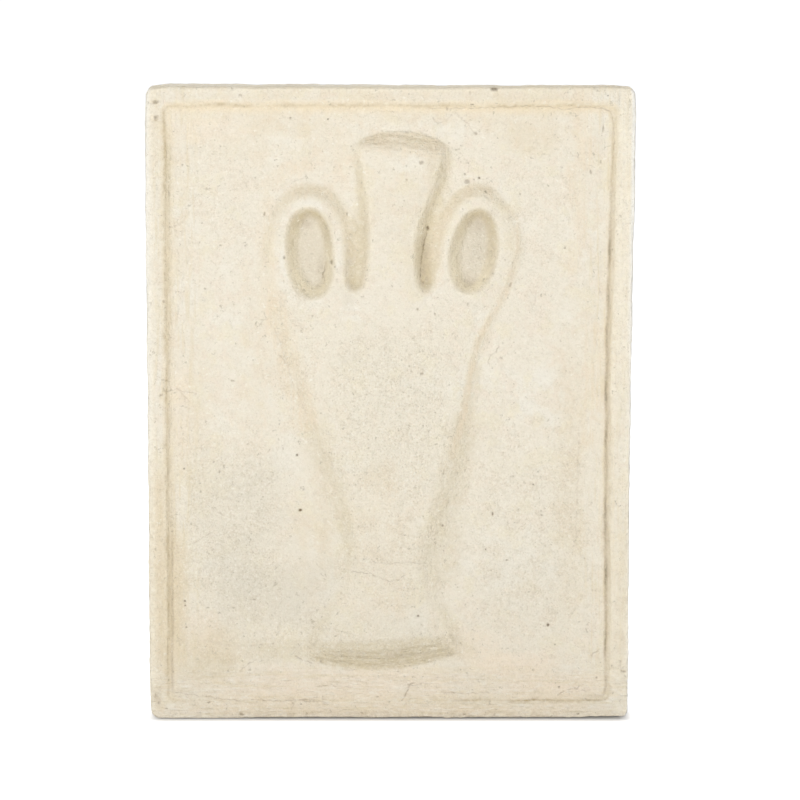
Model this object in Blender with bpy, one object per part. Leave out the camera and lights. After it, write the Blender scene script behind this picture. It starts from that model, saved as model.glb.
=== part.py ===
"""Relief panel with a two-handled vase, cast in one piece in cream plaster and finished by hand.

Metres, +Z up. The back lies flat at Y = 0, the front looks along -Y, and the origin is the middle
of the back. The slab, its low border and the vase are one solid.
"""

import math

import bmesh
import bpy
import numpy as np

# Slab
PANEL_WIDTH = 0.572
PANEL_HEIGHT = 0.760
FIELD_THICKNESS = 0.034
ARRIS_RADIUS = 0.0035
TOP_LEFT_ROUNDING = 0.006
TOP_RIGHT_ROUNDING = 0.007
BOTTOM_LEFT_ROUNDING = 0.008
BOTTOM_RIGHT_ROUNDING = 0.003

# Border, and the wall down from it to the sunk field
BORDER_RISE = 0.009
BORDER_TOP = 0.0203
BORDER_BOTTOM = 0.0196
BORDER_LEFT = 0.0180
BORDER_RIGHT = 0.0210
LEFT_BORDER_TAPER = 0.0012
RIGHT_BORDER_TAPER = 0.0025
RIGHT_BORDER_SWELL = 0.0040
RIGHT_SWELL_HEIGHT = -0.095
RIGHT_SWELL_REACH = 0.340
WALL_RUN = 0.0060
INNER_TOP_LEFT_ROUNDING = 0.006
INNER_TOP_RIGHT_ROUNDING = 0.011
INNER_BOTTOM_LEFT_ROUNDING = 0.006
INNER_BOTTOM_RIGHT_ROUNDING = 0.010

# The field comes up towards the top and bottom borders, and a little to the left
FIELD_LIFT = 0.0045
FIELD_LIFT_RUN = 0.110
FIELD_TILT = 0.0030

# Vase: it stands in the field between these two clearances
GAP_ABOVE_LIP = 0.0305
GAP_BELOW_FOOT = 0.0410
VASE_RISE = 0.0160
EYE_DEPTH = 0.0135

VASE_HEIGHT = PANEL_HEIGHT - BORDER_TOP - BORDER_BOTTOM - GAP_ABOVE_LIP - GAP_BELOW_FOOT
FOOT_LEVEL = -PANEL_HEIGHT / 2 + BORDER_BOTTOM + GAP_BELOW_FOOT

# The vase is carved in hundredths of its own height, up from its foot and out from the panel's
# middle. Its rises are shares of VASE_RISE.
PART = VASE_HEIGHT / 100

# Height, left edge, right edge
NECK_EDGES = (
    (70.0, -4.4, 4.6),
    (75.0, -4.0, 4.0),
    (80.5, -3.6, 4.0),
    (85.5, -3.8, 5.3),
    (90.2, -4.3, 7.0),
    (98.0, -5.2, 9.4),
)
BODY_EDGES = (
    (3.0, -14.0, 12.0),
    (10.2, -9.6, 8.0),
    (15.0, -6.9, 5.5),
    (20.0, -5.5, 3.7),
    (27.0, -6.0, 5.0),
    (34.5, -7.3, 7.6),
    (45.0, -12.1, 11.6),
    (52.3, -14.3, 13.9),
    (59.0, -17.1, 14.8),
    (68.0, -20.0, 18.4),
    (75.0, -21.4, 21.4),
    (80.0, -20.8, 22.3),
    (84.0, -19.2, 21.0),
    (90.0, -15.0, 16.0),
)

# Height, left run, right run, left rise, right rise, rise at the crown
NECK_SLOPES = (
    (72.0, 1.5, 1.8, 0.56, 0.64, 0.72),
    (82.0, 1.7, 2.6, 0.40, 0.64, 0.78),
    (90.0, 1.8, 2.4, 0.24, 0.46, 0.76),
    (98.0, 1.9, 2.1, 0.28, 0.40, 0.88),
)
BODY_SLOPES = (
    (4.0, 2.0, 1.8, 0.32, 0.30, 0.98),
    (8.0, 3.6, 3.4, 0.10, 0.10, 0.76),
    (14.0, 5.0, 4.8, 0.06, 0.06, 0.54),
    (22.0, 3.4, 3.8, 0.26, 0.24, 0.64),
    (34.5, 4.6, 3.8, 0.48, 0.54, 0.80),
    (45.0, 3.2, 2.8, 0.32, 0.47, 0.78),
    (59.0, 3.0, 2.1, 0.20, 0.28, 0.72),
    (72.0, 3.0, 1.9, 0.30, 0.38, 0.70),
    (86.0, 3.0, 1.9, 0.30, 0.38, 0.62),
)

# The banks of lip and foot run out a little above 100 and below 0
LIP_CROWN = 100.3
LIP_MIDDLE = 1.6
LIP_CROWN_DROP = 0.034
LIP_EDGE_HEIGHT = 97.0
LIP_EDGE_TILT = -0.09
FOOT_BASE = -0.4
FOOT_MIDDLE = -3.0
FOOT_BASE_LIFT = 0.0142
FOOT_EDGE_HEIGHT = 4.9
FOOT_EDGE_TILT = 0.03

# The slots between neck and handles end round, in the shoulders
SLOT_BOTTOM = 69.7
SLOT_MIDDLE = 6.5
SLOT_RADIUS = 2.45
SLOT_END_HEIGHT = 3.6
SLOT_END_RUN = 1.7
SLOT_OUTER_SIDE = 9.0
SHOULDER_HEIGHT = 77.0
SHOULDER_FADE = 4.0
SHOULDER_LIFT = 12.0
SHOULDER_RUN = 7.0
NECK_ROOT = 60.0
NECK_ROOT_RUN = 12.0

# The left slot isn't cut down to the field: its floor comes up towards its end
SLOT_FLOOR_RISE = 0.20
SLOT_FLOOR_START = 90.0
SLOT_FLOOR_RUN = 14.0

LEFT_HANDLE = {
    "centre": (-15.2, 77.8),
    "lean": 0.0,
    "edge": (6.5, 10.5),
    "outer": (8.2, 12.9),
    "roundness": 2.4,
    "outward": -1,
    "rise": 0.62,
}
RIGHT_HANDLE = {
    "centre": (15.3, 78.3),
    "lean": 6.0,
    "edge": (6.3, 10.2),
    "outer": (8.5, 11.9),
    "roundness": 2.0,
    "outward": 1,
    "rise": 0.70,
}
HANDLE_OUTER_DROP = 0.32
HANDLE_ROOT = 52.0
HANDLE_ROOT_RUN = 20.0
HANDLE_OUTER_ROOT_LIFT = 14.0

LEFT_EYE = {"centre": (-14.8, 77.6), "lean": -5.0, "rim": (4.3, 8.4), "floor": (2.4, 6.2), "egg": -0.06}
RIGHT_EYE = {"centre": (15.3, 78.0), "lean": 8.8, "rim": (4.4, 7.9), "floor": (2.3, 6.1), "egg": -0.04}

# Fillets where forms meet, and the share of a bank that its rounded foot or brow takes
FORM_FILLET = 0.09
SLOPE_BLEND = 0.5
BANK_ROUNDING = 0.25
LEAST_BANK_RUN = 1.0

# Mesh of the front
FIELD_COLUMNS = 22
FIELD_ROWS = 30
ARRIS_STEPS = 2
WALL_STEPS = 3
REFINEMENTS = 3
FLATNESS = 0.00025
SHORTEST_EDGE = 0.0040
SHARP_EDGE_ANGLE = math.radians(25)

PLASTER_COLOUR = (0.80, 0.72, 0.57, 1.0)
PLASTER_ROUGHNESS = 0.88


def soft_step(t):
    """0 to 1 with a rounded start and end, as t goes from 0 to 1."""
    t = np.clip(t, 0.0, 1.0)
    return t * t * (3.0 - 2.0 * t)


def bank(t):
    """0 to 1 at an even slope with a rounded foot and brow, as t goes from 0 to 1."""
    t = np.clip(t, 0.0, 1.0)
    near = np.minimum(t, 1 - t)
    even = (near - BANK_ROUNDING / 2) / (1 - BANK_ROUNDING)
    rounded = near * near / (2 * BANK_ROUNDING * (1 - BANK_ROUNDING))
    low = np.where(near < BANK_ROUNDING, rounded, even)
    return np.where(t < 0.5, low, 1 - low)


def smooth_min(a, b, blend):
    overlap = np.clip(blend - abs(a - b), 0.0, None) / blend
    return np.minimum(a, b) - overlap * overlap * blend / 4.0


def filleted(a, b, fillet):
    """The higher of two forms, with a fillet where both stand clear of the field."""
    overlap = np.clip(fillet - abs(a - b), 0.0, None) / fillet
    return np.maximum(a, b) + overlap * overlap * fillet / 4.0 * soft_step(np.minimum(a, b) / fillet)


def through(stations, column, height):
    """A smooth curve through one column of the stations, read at each height."""
    knots = np.array([station[0] for station in stations])
    values = np.array([station[column] for station in stations])
    tangents = np.gradient(values, knots)
    height = np.clip(height, knots[0], knots[-1])
    start = np.clip(np.searchsorted(knots, height) - 1, 0, len(knots) - 2)
    span = knots[start + 1] - knots[start]
    t = (height - knots[start]) / span
    ends = values[start] * (1 + 2 * t) * (1 - t) ** 2 + values[start + 1] * t * t * (3 - 2 * t)
    bends = tangents[start] * t * (1 - t) ** 2 - tangents[start + 1] * t * t * (1 - t)
    return ends + span * bends


def turned_form(edges, slopes, across, height, profile):
    """A form like half a turned pot: a slope up from the field on either side of a low dome."""
    left, right = (through(edges, column, height) for column in (1, 2))
    left_run, right_run, left_rise, right_rise, crown = (
        through(slopes, column, height) for column in range(1, 6)
    )
    outer_left = left - left_run
    outer_right = right + right_run
    place = np.clip((across - outer_left) / (outer_right - outer_left), 0.0, 1.0)
    dome = 1 - (2 * place - 1) ** 2
    side_rise = left_rise + (right_rise - left_rise) * place
    slope = smooth_min((across - outer_left) / left_run, (outer_right - across) / right_run, SLOPE_BLEND)
    return (side_rise + (crown - side_rise) * dome) * profile(slope)


def leaned(across, height, centre, lean):
    """Place measured from the centre of a form that leans over, in degrees to the right."""
    c = math.cos(math.radians(lean))
    s = math.sin(math.radians(lean))
    right = across - centre[0]
    up = height - centre[1]
    return right * c - up * s, right * s + up * c


def oval_radius(across, along, half_size, roundness=2.0, egg=0.0):
    """1 on the oval, less inside it. An egg above 0 narrows towards its top, and below 0 it widens."""
    half_width = half_size[0] * (1 - egg * along / half_size[1])
    sides = (abs(across) / half_width) ** roundness
    ends = (abs(along) / half_size[1]) ** roundness
    return np.maximum(sides + ends, 1e-9) ** (1 / roundness)


def between_ovals(inner, outer):
    """1 on the inner oval and 0 on the outer one, from the radii measured in each."""
    return inner * (1 - outer) / np.maximum(inner - outer, 1e-9)


def handle_form(across, height, handle):
    """A raised arch around the eye, whose legs run down into the shoulder."""
    right, up = leaned(across, height, handle["centre"], handle["lean"])
    up = np.maximum(up, 0.0)
    edge = oval_radius(right, up, handle["edge"], handle["roundness"])
    outer = oval_radius(right, up, handle["outer"], handle["roundness"])
    outward = soft_step(handle["outward"] * right / handle["edge"][0])
    root = soft_step((height - HANDLE_ROOT - HANDLE_OUTER_ROOT_LIFT * outward) / HANDLE_ROOT_RUN)
    rise = handle["rise"] * (1 - HANDLE_OUTER_DROP * outward) * root
    return rise * bank(between_ovals(edge, outer))


def eye_form(across, height, eye):
    """1 on the floor of the eye and 0 at its rim."""
    right, up = leaned(across, height, eye["centre"], eye["lean"])
    floor = oval_radius(right, up, eye["floor"], egg=eye["egg"])
    rim = oval_radius(right, up, eye["rim"], egg=eye["egg"])
    return bank(between_ovals(floor, rim))


def neck_form(across, height):
    crown = LIP_CROWN - LIP_CROWN_DROP * (across - LIP_MIDDLE) ** 2
    edge = LIP_EDGE_HEIGHT + LIP_EDGE_TILT * (across - LIP_MIDDLE)
    lip = (crown - height) / np.maximum(crown - edge, LEAST_BANK_RUN)
    root = (height - NECK_ROOT) / NECK_ROOT_RUN
    return turned_form(NECK_EDGES, NECK_SLOPES, across, height, bank) * bank(lip) * soft_step(root)


def body_form(across, height):
    base = FOOT_BASE + FOOT_BASE_LIFT * (across - FOOT_MIDDLE) ** 2
    edge = FOOT_EDGE_HEIGHT + FOOT_EDGE_TILT * across
    foot = (height - base) / np.maximum(edge - base, LEAST_BANK_RUN)
    into_end = np.minimum(height - SLOT_BOTTOM - SLOT_END_HEIGHT, 0.0) * SLOT_RADIUS / SLOT_END_HEIGHT
    from_slot = np.hypot(abs(across) - SLOT_MIDDLE, into_end) - SLOT_RADIUS
    top = SHOULDER_HEIGHT + SHOULDER_LIFT * soft_step((abs(across) - SLOT_OUTER_SIDE) / SHOULDER_RUN)
    shoulder = bank(1 + from_slot / SLOT_END_RUN) * soft_step((top - height) / SHOULDER_FADE)
    return turned_form(BODY_EDGES, BODY_SLOPES, across, height, soft_step) * bank(foot) * shoulder


def slot_floor(across, height):
    across_slot = soft_step(2 - abs(across + SLOT_MIDDLE) / SLOT_RADIUS)
    down_slot = soft_step((SLOT_FLOOR_START - height) / SLOT_FLOOR_RUN)
    return SLOT_FLOOR_RISE * across_slot * down_slot * soft_step(height - SLOT_BOTTOM + 1)


def in_vase(x, z):
    """A place of the panel in the vase's own hundredths."""
    return x / PART, (z - FOOT_LEVEL) / PART


def vase_rise(x, z):
    """Height of the vase above the field, without its eyes."""
    across, height = in_vase(x, z)
    handles = np.maximum(
        handle_form(across, height, LEFT_HANDLE), handle_form(across, height, RIGHT_HANDLE)
    )
    upper = np.maximum(neck_form(across, height), handles)
    body = np.maximum(body_form(across, height), slot_floor(across, height))
    return VASE_RISE * filleted(upper, body, FORM_FILLET)


def eye_sinking(x, z):
    across, height = in_vase(x, z)
    return EYE_DEPTH * np.maximum(eye_form(across, height, LEFT_EYE), eye_form(across, height, RIGHT_EYE))


def inside_rounded(side, level, radius):
    """Distance in from a rectangle with rounded corners, given the distances from its sides."""
    u = np.maximum(radius - side, 0.0)
    v = np.maximum(radius - level, 0.0)
    return np.where(u + v > 0, radius - np.sqrt(u * u + v * v), np.minimum(side, level))


def by_corner(x, z, top_left, top_right, bottom_left, bottom_right):
    top = np.where(x < 0, top_left, top_right)
    bottom = np.where(x < 0, bottom_left, bottom_right)
    return np.where(z > 0, top, bottom)


def left_lip(z):
    """Where the left border's flat top ends, at each height."""
    return -PANEL_WIDTH / 2 + BORDER_LEFT - LEFT_BORDER_TAPER * 2 * z / PANEL_HEIGHT


def right_lip(z):
    swell = RIGHT_BORDER_SWELL * soft_step(1 - abs(z - RIGHT_SWELL_HEIGHT) / RIGHT_SWELL_REACH)
    return PANEL_WIDTH / 2 - BORDER_RIGHT + RIGHT_BORDER_TAPER * 2 * z / PANEL_HEIGHT - swell


def inside_border(x, z):
    side = np.minimum(x - left_lip(z), right_lip(z) - x)
    level = np.minimum(PANEL_HEIGHT / 2 - BORDER_TOP - z, z + PANEL_HEIGHT / 2 - BORDER_BOTTOM)
    radius = by_corner(
        x,
        z,
        INNER_TOP_LEFT_ROUNDING,
        INNER_TOP_RIGHT_ROUNDING,
        INNER_BOTTOM_LEFT_ROUNDING,
        INNER_BOTTOM_RIGHT_ROUNDING,
    )
    return inside_rounded(side, level, radius)


def outline_rounding(x, z):
    return by_corner(
        x,
        z,
        TOP_LEFT_ROUNDING,
        TOP_RIGHT_ROUNDING,
        BOTTOM_LEFT_ROUNDING,
        BOTTOM_RIGHT_ROUNDING,
    )


def field_level(x, z):
    """The field above its lowest place."""
    from_border = PANEL_HEIGHT / 2 - (BORDER_TOP + BORDER_BOTTOM) / 2 - abs(z)
    lift = FIELD_LIFT * soft_step(1 - from_border / FIELD_LIFT_RUN)
    return lift + FIELD_TILT * (0.5 - x / PANEL_WIDTH)


def front_depth(x, z):
    """Thickness of the panel from its flat back, at each place of its front."""
    field = field_level(x, z)
    wall = 1 - soft_step(inside_border(x, z) / WALL_RUN)
    border = field + (BORDER_RISE - field) * wall
    carved = np.maximum(border, field + vase_rise(x, z) * (1 - wall)) - eye_sinking(x, z)
    edge = inside_rounded(PANEL_WIDTH / 2 - abs(x), PANEL_HEIGHT / 2 - abs(z), outline_rounding(x, z))
    worn = np.clip(1 - edge / ARRIS_RADIUS, 0.0, 1.0)
    return FIELD_THICKNESS + carved - ARRIS_RADIUS * (1 - np.sqrt(1 - worn * worn))


def spaced(marks, steps):
    """Places from mark to mark, with so many even steps between each two."""
    runs = [np.linspace(marks[i], marks[i + 1], step, endpoint=False) for i, step in enumerate(steps)]
    return np.append(np.concatenate(runs), marks[-1])


def steps_across(field_steps):
    return (ARRIS_STEPS, 1, WALL_STEPS, field_steps, WALL_STEPS, 1, ARRIS_STEPS)


def row_heights():
    bottom = -PANEL_HEIGHT / 2
    top = PANEL_HEIGHT / 2
    low_lip = bottom + BORDER_BOTTOM
    high_lip = top - BORDER_TOP
    marks = (
        bottom,
        bottom + ARRIS_RADIUS,
        low_lip,
        low_lip + WALL_RUN,
        high_lip - WALL_RUN,
        high_lip,
        top - ARRIS_RADIUS,
        top,
    )
    return spaced(marks, steps_across(FIELD_ROWS))


def column_places(z):
    """Places across the panel at one height: they follow the border's lips, which aren't straight."""
    left = -PANEL_WIDTH / 2
    right = PANEL_WIDTH / 2
    marks = (
        left,
        left + ARRIS_RADIUS,
        left_lip(z),
        left_lip(z) + WALL_RUN,
        right_lip(z) - WALL_RUN,
        right_lip(z),
        right - ARRIS_RADIUS,
        right,
    )
    return spaced(marks, steps_across(FIELD_COLUMNS))


def round_corner(x, z):
    """Moves a place of the square-cornered grid in behind the rounded corner nearest to it."""
    radius = float(outline_rounding(x, z))
    across = abs(x) - (PANEL_WIDTH / 2 - radius)
    up = abs(z) - (PANEL_HEIGHT / 2 - radius)
    if across <= 0 or up <= 0:
        return x, z
    share = max(across, up) / math.hypot(across, up)
    return (
        math.copysign(PANEL_WIDTH / 2 - radius + across * share, x),
        math.copysign(PANEL_HEIGHT / 2 - radius + up * share, z),
    )


def lay_grid(bm):
    """A grid over the front whose lines run along the arris and the border's wall."""
    rows = row_heights()
    columns = len(column_places(0.0)) - 1
    bmesh.ops.create_grid(bm, x_segments=columns, y_segments=len(rows) - 1, size=0.5)
    places = [column_places(z) for z in rows]
    for vertex in bm.verts:
        column = round((vertex.co.x + 0.5) * columns)
        row = round((vertex.co.y + 0.5) * (len(rows) - 1))
        x, z = round_corner(places[row][column], rows[row])
        vertex.co = (x, 0.0, z)
    bmesh.ops.triangulate(bm, faces=bm.faces)


def press_relief(vertices):
    """Brings each vertex forward from the back's plane by the panel's thickness there."""
    x = np.array([vertex.co.x for vertex in vertices])
    z = np.array([vertex.co.z for vertex in vertices])
    for vertex, depth in zip(vertices, front_depth(x, z)):
        vertex.co.y = -depth


def bent_edges(bm):
    """Edges of the field that the relief bows away from by more than the flatness."""
    edges = [edge for edge in bm.edges if edge.calc_length() > SHORTEST_EDGE]
    starts = np.array([edge.verts[0].co for edge in edges])
    ends = np.array([edge.verts[1].co for edge in edges])
    middle = (starts + ends) / 2
    bow = np.zeros(len(edges))
    for share in (0.25, 0.5, 0.75):
        chord = starts + (ends - starts) * share
        bow = np.maximum(bow, abs(front_depth(chord[:, 0], chord[:, 2]) + chord[:, 1]))
    bent = (bow > FLATNESS) & (inside_border(middle[:, 0], middle[:, 2]) > WALL_RUN)
    return [edge for edge, found in zip(edges, bent) if found]


def refine(bm):
    for _ in range(REFINEMENTS):
        bmesh.ops.subdivide_edges(bm, edges=bent_edges(bm), cuts=1, use_grid_fill=True)
        bmesh.ops.triangulate(bm, faces=[face for face in bm.faces if len(face.verts) > 3])
        press_relief(list(bm.verts))


def close_slab(bm):
    """Sides straight back from the front's rim, and a flat back."""
    rim = [edge for edge in bm.edges if edge.is_boundary]
    sides = bmesh.ops.extrude_edge_only(bm, edges=rim)["geom"]
    for vertex in (item for item in sides if isinstance(item, bmesh.types.BMVert)):
        vertex.co.y = 0.0
    back_rim = [item for item in sides if isinstance(item, bmesh.types.BMEdge) and item.is_boundary]
    back = bmesh.ops.contextual_create(bm, geom=back_rim)["faces"]
    bmesh.ops.poke(bm, faces=back)
    bmesh.ops.recalc_face_normals(bm, faces=bm.faces)


def relief_panel_mesh():
    bm = bmesh.new()
    lay_grid(bm)
    press_relief(list(bm.verts))
    refine(bm)
    close_slab(bm)
    mesh = bpy.data.meshes.new("relief_panel")
    bm.to_mesh(mesh)
    bm.free()
    mesh.shade_smooth()
    mesh.set_sharp_from_angle(angle=SHARP_EDGE_ANGLE)
    return mesh


def plaster():
    material = bpy.data.materials.new("cast_plaster")
    material.use_nodes = True
    shader = material.node_tree.nodes["Principled BSDF"]
    shader.inputs["Base Color"].default_value = PLASTER_COLOUR
    shader.inputs["Roughness"].default_value = PLASTER_ROUGHNESS
    shader.inputs["Metallic"].default_value = 0.0
    return material


def clear_scene():
    for obj in list(bpy.data.objects):
        bpy.data.objects.remove(obj, do_unlink=True)


def main():
    clear_scene()
    collection = bpy.data.collections.new("vase_relief_wall_sculpture")
    bpy.context.scene.collection.children.link(collection)
    panel = bpy.data.objects.new("relief_panel", relief_panel_mesh())
    panel.data.materials.append(plaster())
    collection.objects.link(panel)


main()
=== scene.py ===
# %% [markdown]
# # A two-handled vase in cream plaster relief
#
# The real panel is one block of cast gypsum plaster that hangs on a wall. A low border runs round a
# sunk field, and a soft vase with two handles rises from the field by less than a finger's width.
# The CAD model gives the main form. This script repeats that form on a much finer mesh, and adds
# what a hand and some years leave on plaster: crooked edges, tool strokes, air pits, cracks and dirt.

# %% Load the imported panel
import math

import bmesh
import bpy
import numpy as np
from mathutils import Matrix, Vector


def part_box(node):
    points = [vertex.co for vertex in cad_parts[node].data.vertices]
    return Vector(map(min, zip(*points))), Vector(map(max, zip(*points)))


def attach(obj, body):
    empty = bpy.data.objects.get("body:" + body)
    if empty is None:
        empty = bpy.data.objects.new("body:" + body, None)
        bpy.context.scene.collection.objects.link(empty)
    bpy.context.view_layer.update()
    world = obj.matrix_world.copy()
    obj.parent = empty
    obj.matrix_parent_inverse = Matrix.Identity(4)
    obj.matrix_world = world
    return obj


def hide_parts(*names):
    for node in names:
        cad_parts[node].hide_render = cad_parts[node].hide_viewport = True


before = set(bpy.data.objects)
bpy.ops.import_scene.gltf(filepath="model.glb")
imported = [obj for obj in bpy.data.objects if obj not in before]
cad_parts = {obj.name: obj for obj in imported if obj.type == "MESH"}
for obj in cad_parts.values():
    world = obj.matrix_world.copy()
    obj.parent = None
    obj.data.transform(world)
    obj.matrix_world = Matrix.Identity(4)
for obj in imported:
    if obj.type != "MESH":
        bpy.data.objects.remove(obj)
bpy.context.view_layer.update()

panel_low, panel_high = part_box("relief_panel")
PANEL_WIDTH = panel_high.x - panel_low.x
PANEL_HEIGHT = panel_high.z - panel_low.z
HALF_WIDTH = PANEL_WIDTH / 2
HALF_HEIGHT = PANEL_HEIGHT / 2
print(f"panel {PANEL_WIDTH:.3f} m wide, {PANEL_HEIGHT:.3f} m high")

# %% [markdown]
# ## The camera
#
# The photograph was taken from far away and a little above, so the panel's sides hardly converge
# and a thin strip of its top face shows. A long lens at more than five metres gives the same view.
# The panel isn't quite in the middle of the picture, which a small lens shift repeats.

# %% Camera
CAMERA_ELEVATION = math.radians(9.0)
CAMERA_DISTANCE = 5.2
CAMERA_TARGET = Vector((0.0, -0.043, 0.0))
LENS_MM = 196.07
SENSOR_MM = 36.0
SHIFT_RIGHT = 0.0115
SHIFT_UP = 0.00825


def look_from(obj, place, target):
    """Puts a camera or light at a place and turns it towards the target."""
    obj.location = place
    obj.rotation_euler = (target - place).to_track_quat("-Z", "Y").to_euler()


camera_data = bpy.data.cameras.new("camera")
camera_data.lens = LENS_MM
camera_data.sensor_width = SENSOR_MM
camera_data.shift_x = SHIFT_RIGHT
camera_data.shift_y = SHIFT_UP
camera_data.clip_end = 100.0
camera = bpy.data.objects.new("camera", camera_data)
bpy.context.scene.collection.objects.link(camera)
back_off = Vector((0.0, -math.cos(CAMERA_ELEVATION), math.sin(CAMERA_ELEVATION))) * CAMERA_DISTANCE
look_from(camera, CAMERA_TARGET + back_off, CAMERA_TARGET)
bpy.context.scene.camera = camera
print("camera at", [round(value, 3) for value in camera.location])

# %% [markdown]
# ## Soft studio light
#
# The slopes of the relief are a little darker than its flats on every side, and the underside of
# the foot is darkest. That is what a very large light near the camera gives, with less light from
# all round. The world is white to the camera and dimmer as a lamp, because a relief that is lit
# evenly from everywhere shows no form at all. A lamp above and behind lights the thin top face
# without touching the front, and two weak ones behind are for the other views.

# %% Lights and world
WORLD_SEEN = 1.05
WORLD_GLOW = 0.24
WHITE = (1.0, 1.0, 1.0, 1.0)

# Name, place, width, height, watts
LIGHTS = (
    ("front_window", (-0.35, -3.45, 0.66), 1.6, 1.1, 82.0),
    ("above_and_behind", (0.0, 1.5, 3.0), 2.0, 1.2, 48.0),
    ("fill_behind_left", (-2.6, 2.6, 1.2), 1.5, 1.5, 45.0),
    ("fill_behind_right", (2.6, 2.6, 1.2), 1.5, 1.5, 45.0),
)


def soft_light(name, place, width, height, watts):
    data = bpy.data.lights.new(name, "AREA")
    data.shape = "RECTANGLE"
    data.size = width
    data.size_y = height
    data.energy = watts
    lamp = bpy.data.objects.new(name, data)
    bpy.context.scene.collection.objects.link(lamp)
    look_from(lamp, Vector(place), Vector((0.0, 0.0, 0.0)))
    lamp.visible_camera = False


def by_viewer(tree, unseen, seen):
    """One shader for the light that bounces, and another for what the camera sees."""
    path = tree.nodes.new("ShaderNodeLightPath")
    choice = tree.nodes.new("ShaderNodeMixShader")
    tree.links.new(path.outputs["Is Camera Ray"], choice.inputs["Fac"])
    tree.links.new(unseen.outputs[0], choice.inputs[1])
    tree.links.new(seen.outputs[0], choice.inputs[2])
    return choice.outputs["Shader"]


def white_world():
    world = bpy.data.worlds.new("white_studio")
    world.use_nodes = True
    tree = world.node_tree
    tree.nodes.clear()
    glow, seen = (tree.nodes.new("ShaderNodeBackground") for _ in range(2))
    for node, strength in ((glow, WORLD_GLOW), (seen, WORLD_SEEN)):
        node.inputs["Color"].default_value = WHITE
        node.inputs["Strength"].default_value = strength
    output = tree.nodes.new("ShaderNodeOutputWorld")
    tree.links.new(by_viewer(tree, glow, seen), output.inputs["Surface"])
    return world


for light in LIGHTS:
    soft_light(*light)
bpy.context.scene.world = white_world()
bpy.context.scene.view_settings.view_transform = "Standard"
bpy.context.scene.view_settings.look = "None"

# %% [markdown]
# ## The relief as a height
#
# A relief is a surface with one height over each place of its back, so it can be written as a
# function of two numbers. Sculpting by hand would look as natural, but a function repeats exactly
# and can be measured. Every form is worked out from a few named sizes in metres, or in hundredths
# of the vase's height, and the forms are joined by taking the higher one with a fillet between.

# %% Slab and border sizes
FIELD_THICKNESS = 0.034
ARRIS_RADIUS = 0.0028
OUTLINE_ROUNDINGS = (0.006, 0.007, 0.008, 0.008)  # top left, top right, bottom left, bottom right

BORDER_RISE = 0.009
BORDER_TOP = 0.0187
BORDER_BOTTOM = 0.0196
BORDER_LEFT = 0.0166
LEFT_LIP = -HALF_WIDTH + BORDER_LEFT
BORDER_RIGHT = 0.0188
RIGHT_BORDER_TAPER = 0.0025
RIGHT_BORDER_SWELL = 0.0036
RIGHT_SWELL_HEIGHT = 0.030
RIGHT_SWELL_REACH = 0.360
WALL_RUN = 0.0060
WALL_RUNS = (0.0130, 0.0068, 0.0100, 0.0100)  # left, right, top, bottom
WALL_CURVES = (2.1, 1.15, 2.0, 1.7)
WALL_RUN_BLEND = 0.012
INNER_ROUNDINGS = (0.010, 0.014, 0.009, 0.012)
LINE_WANDERS = ((0.075, 0.00060), (0.018, 0.00028))  # wavelength, then how far the lip strays

FIELD_LIFT = 0.0045
FIELD_LIFT_RUN = 0.110
FIELD_TILT = 0.0030

# %% Vase sizes
GAP_ABOVE_LIP = 0.0321
GAP_BELOW_FOOT = 0.0410
VASE_RISE = 0.0160
EYE_DEPTH = 0.0135
VASE_HEIGHT = PANEL_HEIGHT - BORDER_TOP - BORDER_BOTTOM - GAP_ABOVE_LIP - GAP_BELOW_FOOT
FOOT_LEVEL = -HALF_HEIGHT + BORDER_BOTTOM + GAP_BELOW_FOOT
PART = VASE_HEIGHT / 100

# Height, left edge, right edge
NECK_EDGES = (
    (70.0, -4.5, 4.4),
    (75.0, -3.6, 3.6),
    (80.5, -3.2, 3.7),
    (85.5, -3.6, 5.2),
    (90.2, -4.3, 7.0),
    (98.0, -5.2, 9.4),
)
BODY_EDGES = (
    (3.0, -14.0, 12.0),
    (10.2, -9.6, 8.0),
    (15.0, -6.9, 5.5),
    (20.0, -5.5, 3.7),
    (27.0, -6.0, 5.0),
    (34.5, -7.3, 7.6),
    (45.0, -12.1, 10.6),
    (52.3, -14.3, 12.9),
    (59.0, -17.1, 14.4),
    (68.0, -20.0, 18.4),
    (75.0, -21.4, 21.4),
    (80.0, -20.8, 22.3),
    (84.0, -19.2, 21.0),
    (90.0, -15.0, 16.0),
)

# Height, left run, right run, left rise, right rise, rise at the crown
NECK_SLOPES = (
    (72.0, 2.5, 2.6, 0.50, 0.60, 0.72),
    (82.0, 2.8, 3.0, 0.38, 0.62, 0.78),
    (90.0, 2.2, 3.0, 0.15, 0.46, 0.72),
    (98.0, 2.4, 2.8, 0.10, 0.40, 0.78),
)
BODY_SLOPES = (
    (4.0, 3.0, 2.8, 0.24, 0.22, 0.98),
    (8.0, 4.2, 4.0, 0.10, 0.10, 0.76),
    (14.0, 5.0, 4.8, 0.06, 0.06, 0.54),
    (22.0, 3.6, 6.6, 0.26, 0.20, 0.60),
    (34.5, 6.0, 7.0, 0.48, 0.50, 0.80),
    (45.0, 5.0, 5.0, 0.32, 0.38, 0.78),
    (59.0, 3.4, 3.0, 0.15, 0.18, 0.72),
    (72.0, 3.4, 2.6, 0.18, 0.16, 0.66),
    (86.0, 3.4, 2.6, 0.18, 0.15, 0.60),
)

LIP_CROWN = 100.1
LIP_MIDDLE = 1.6
LIP_CROWN_DROP = 0.034
LIP_EDGE_HEIGHT = 96.0
LIP_EDGE_TILT = -0.09
FOOT_BASE = -0.8
FOOT_MIDDLE = -3.0
FOOT_BASE_LIFT = 0.0142
FOOT_EDGE_HEIGHT = 5.5
FOOT_EDGE_TILT = 0.05

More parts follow.
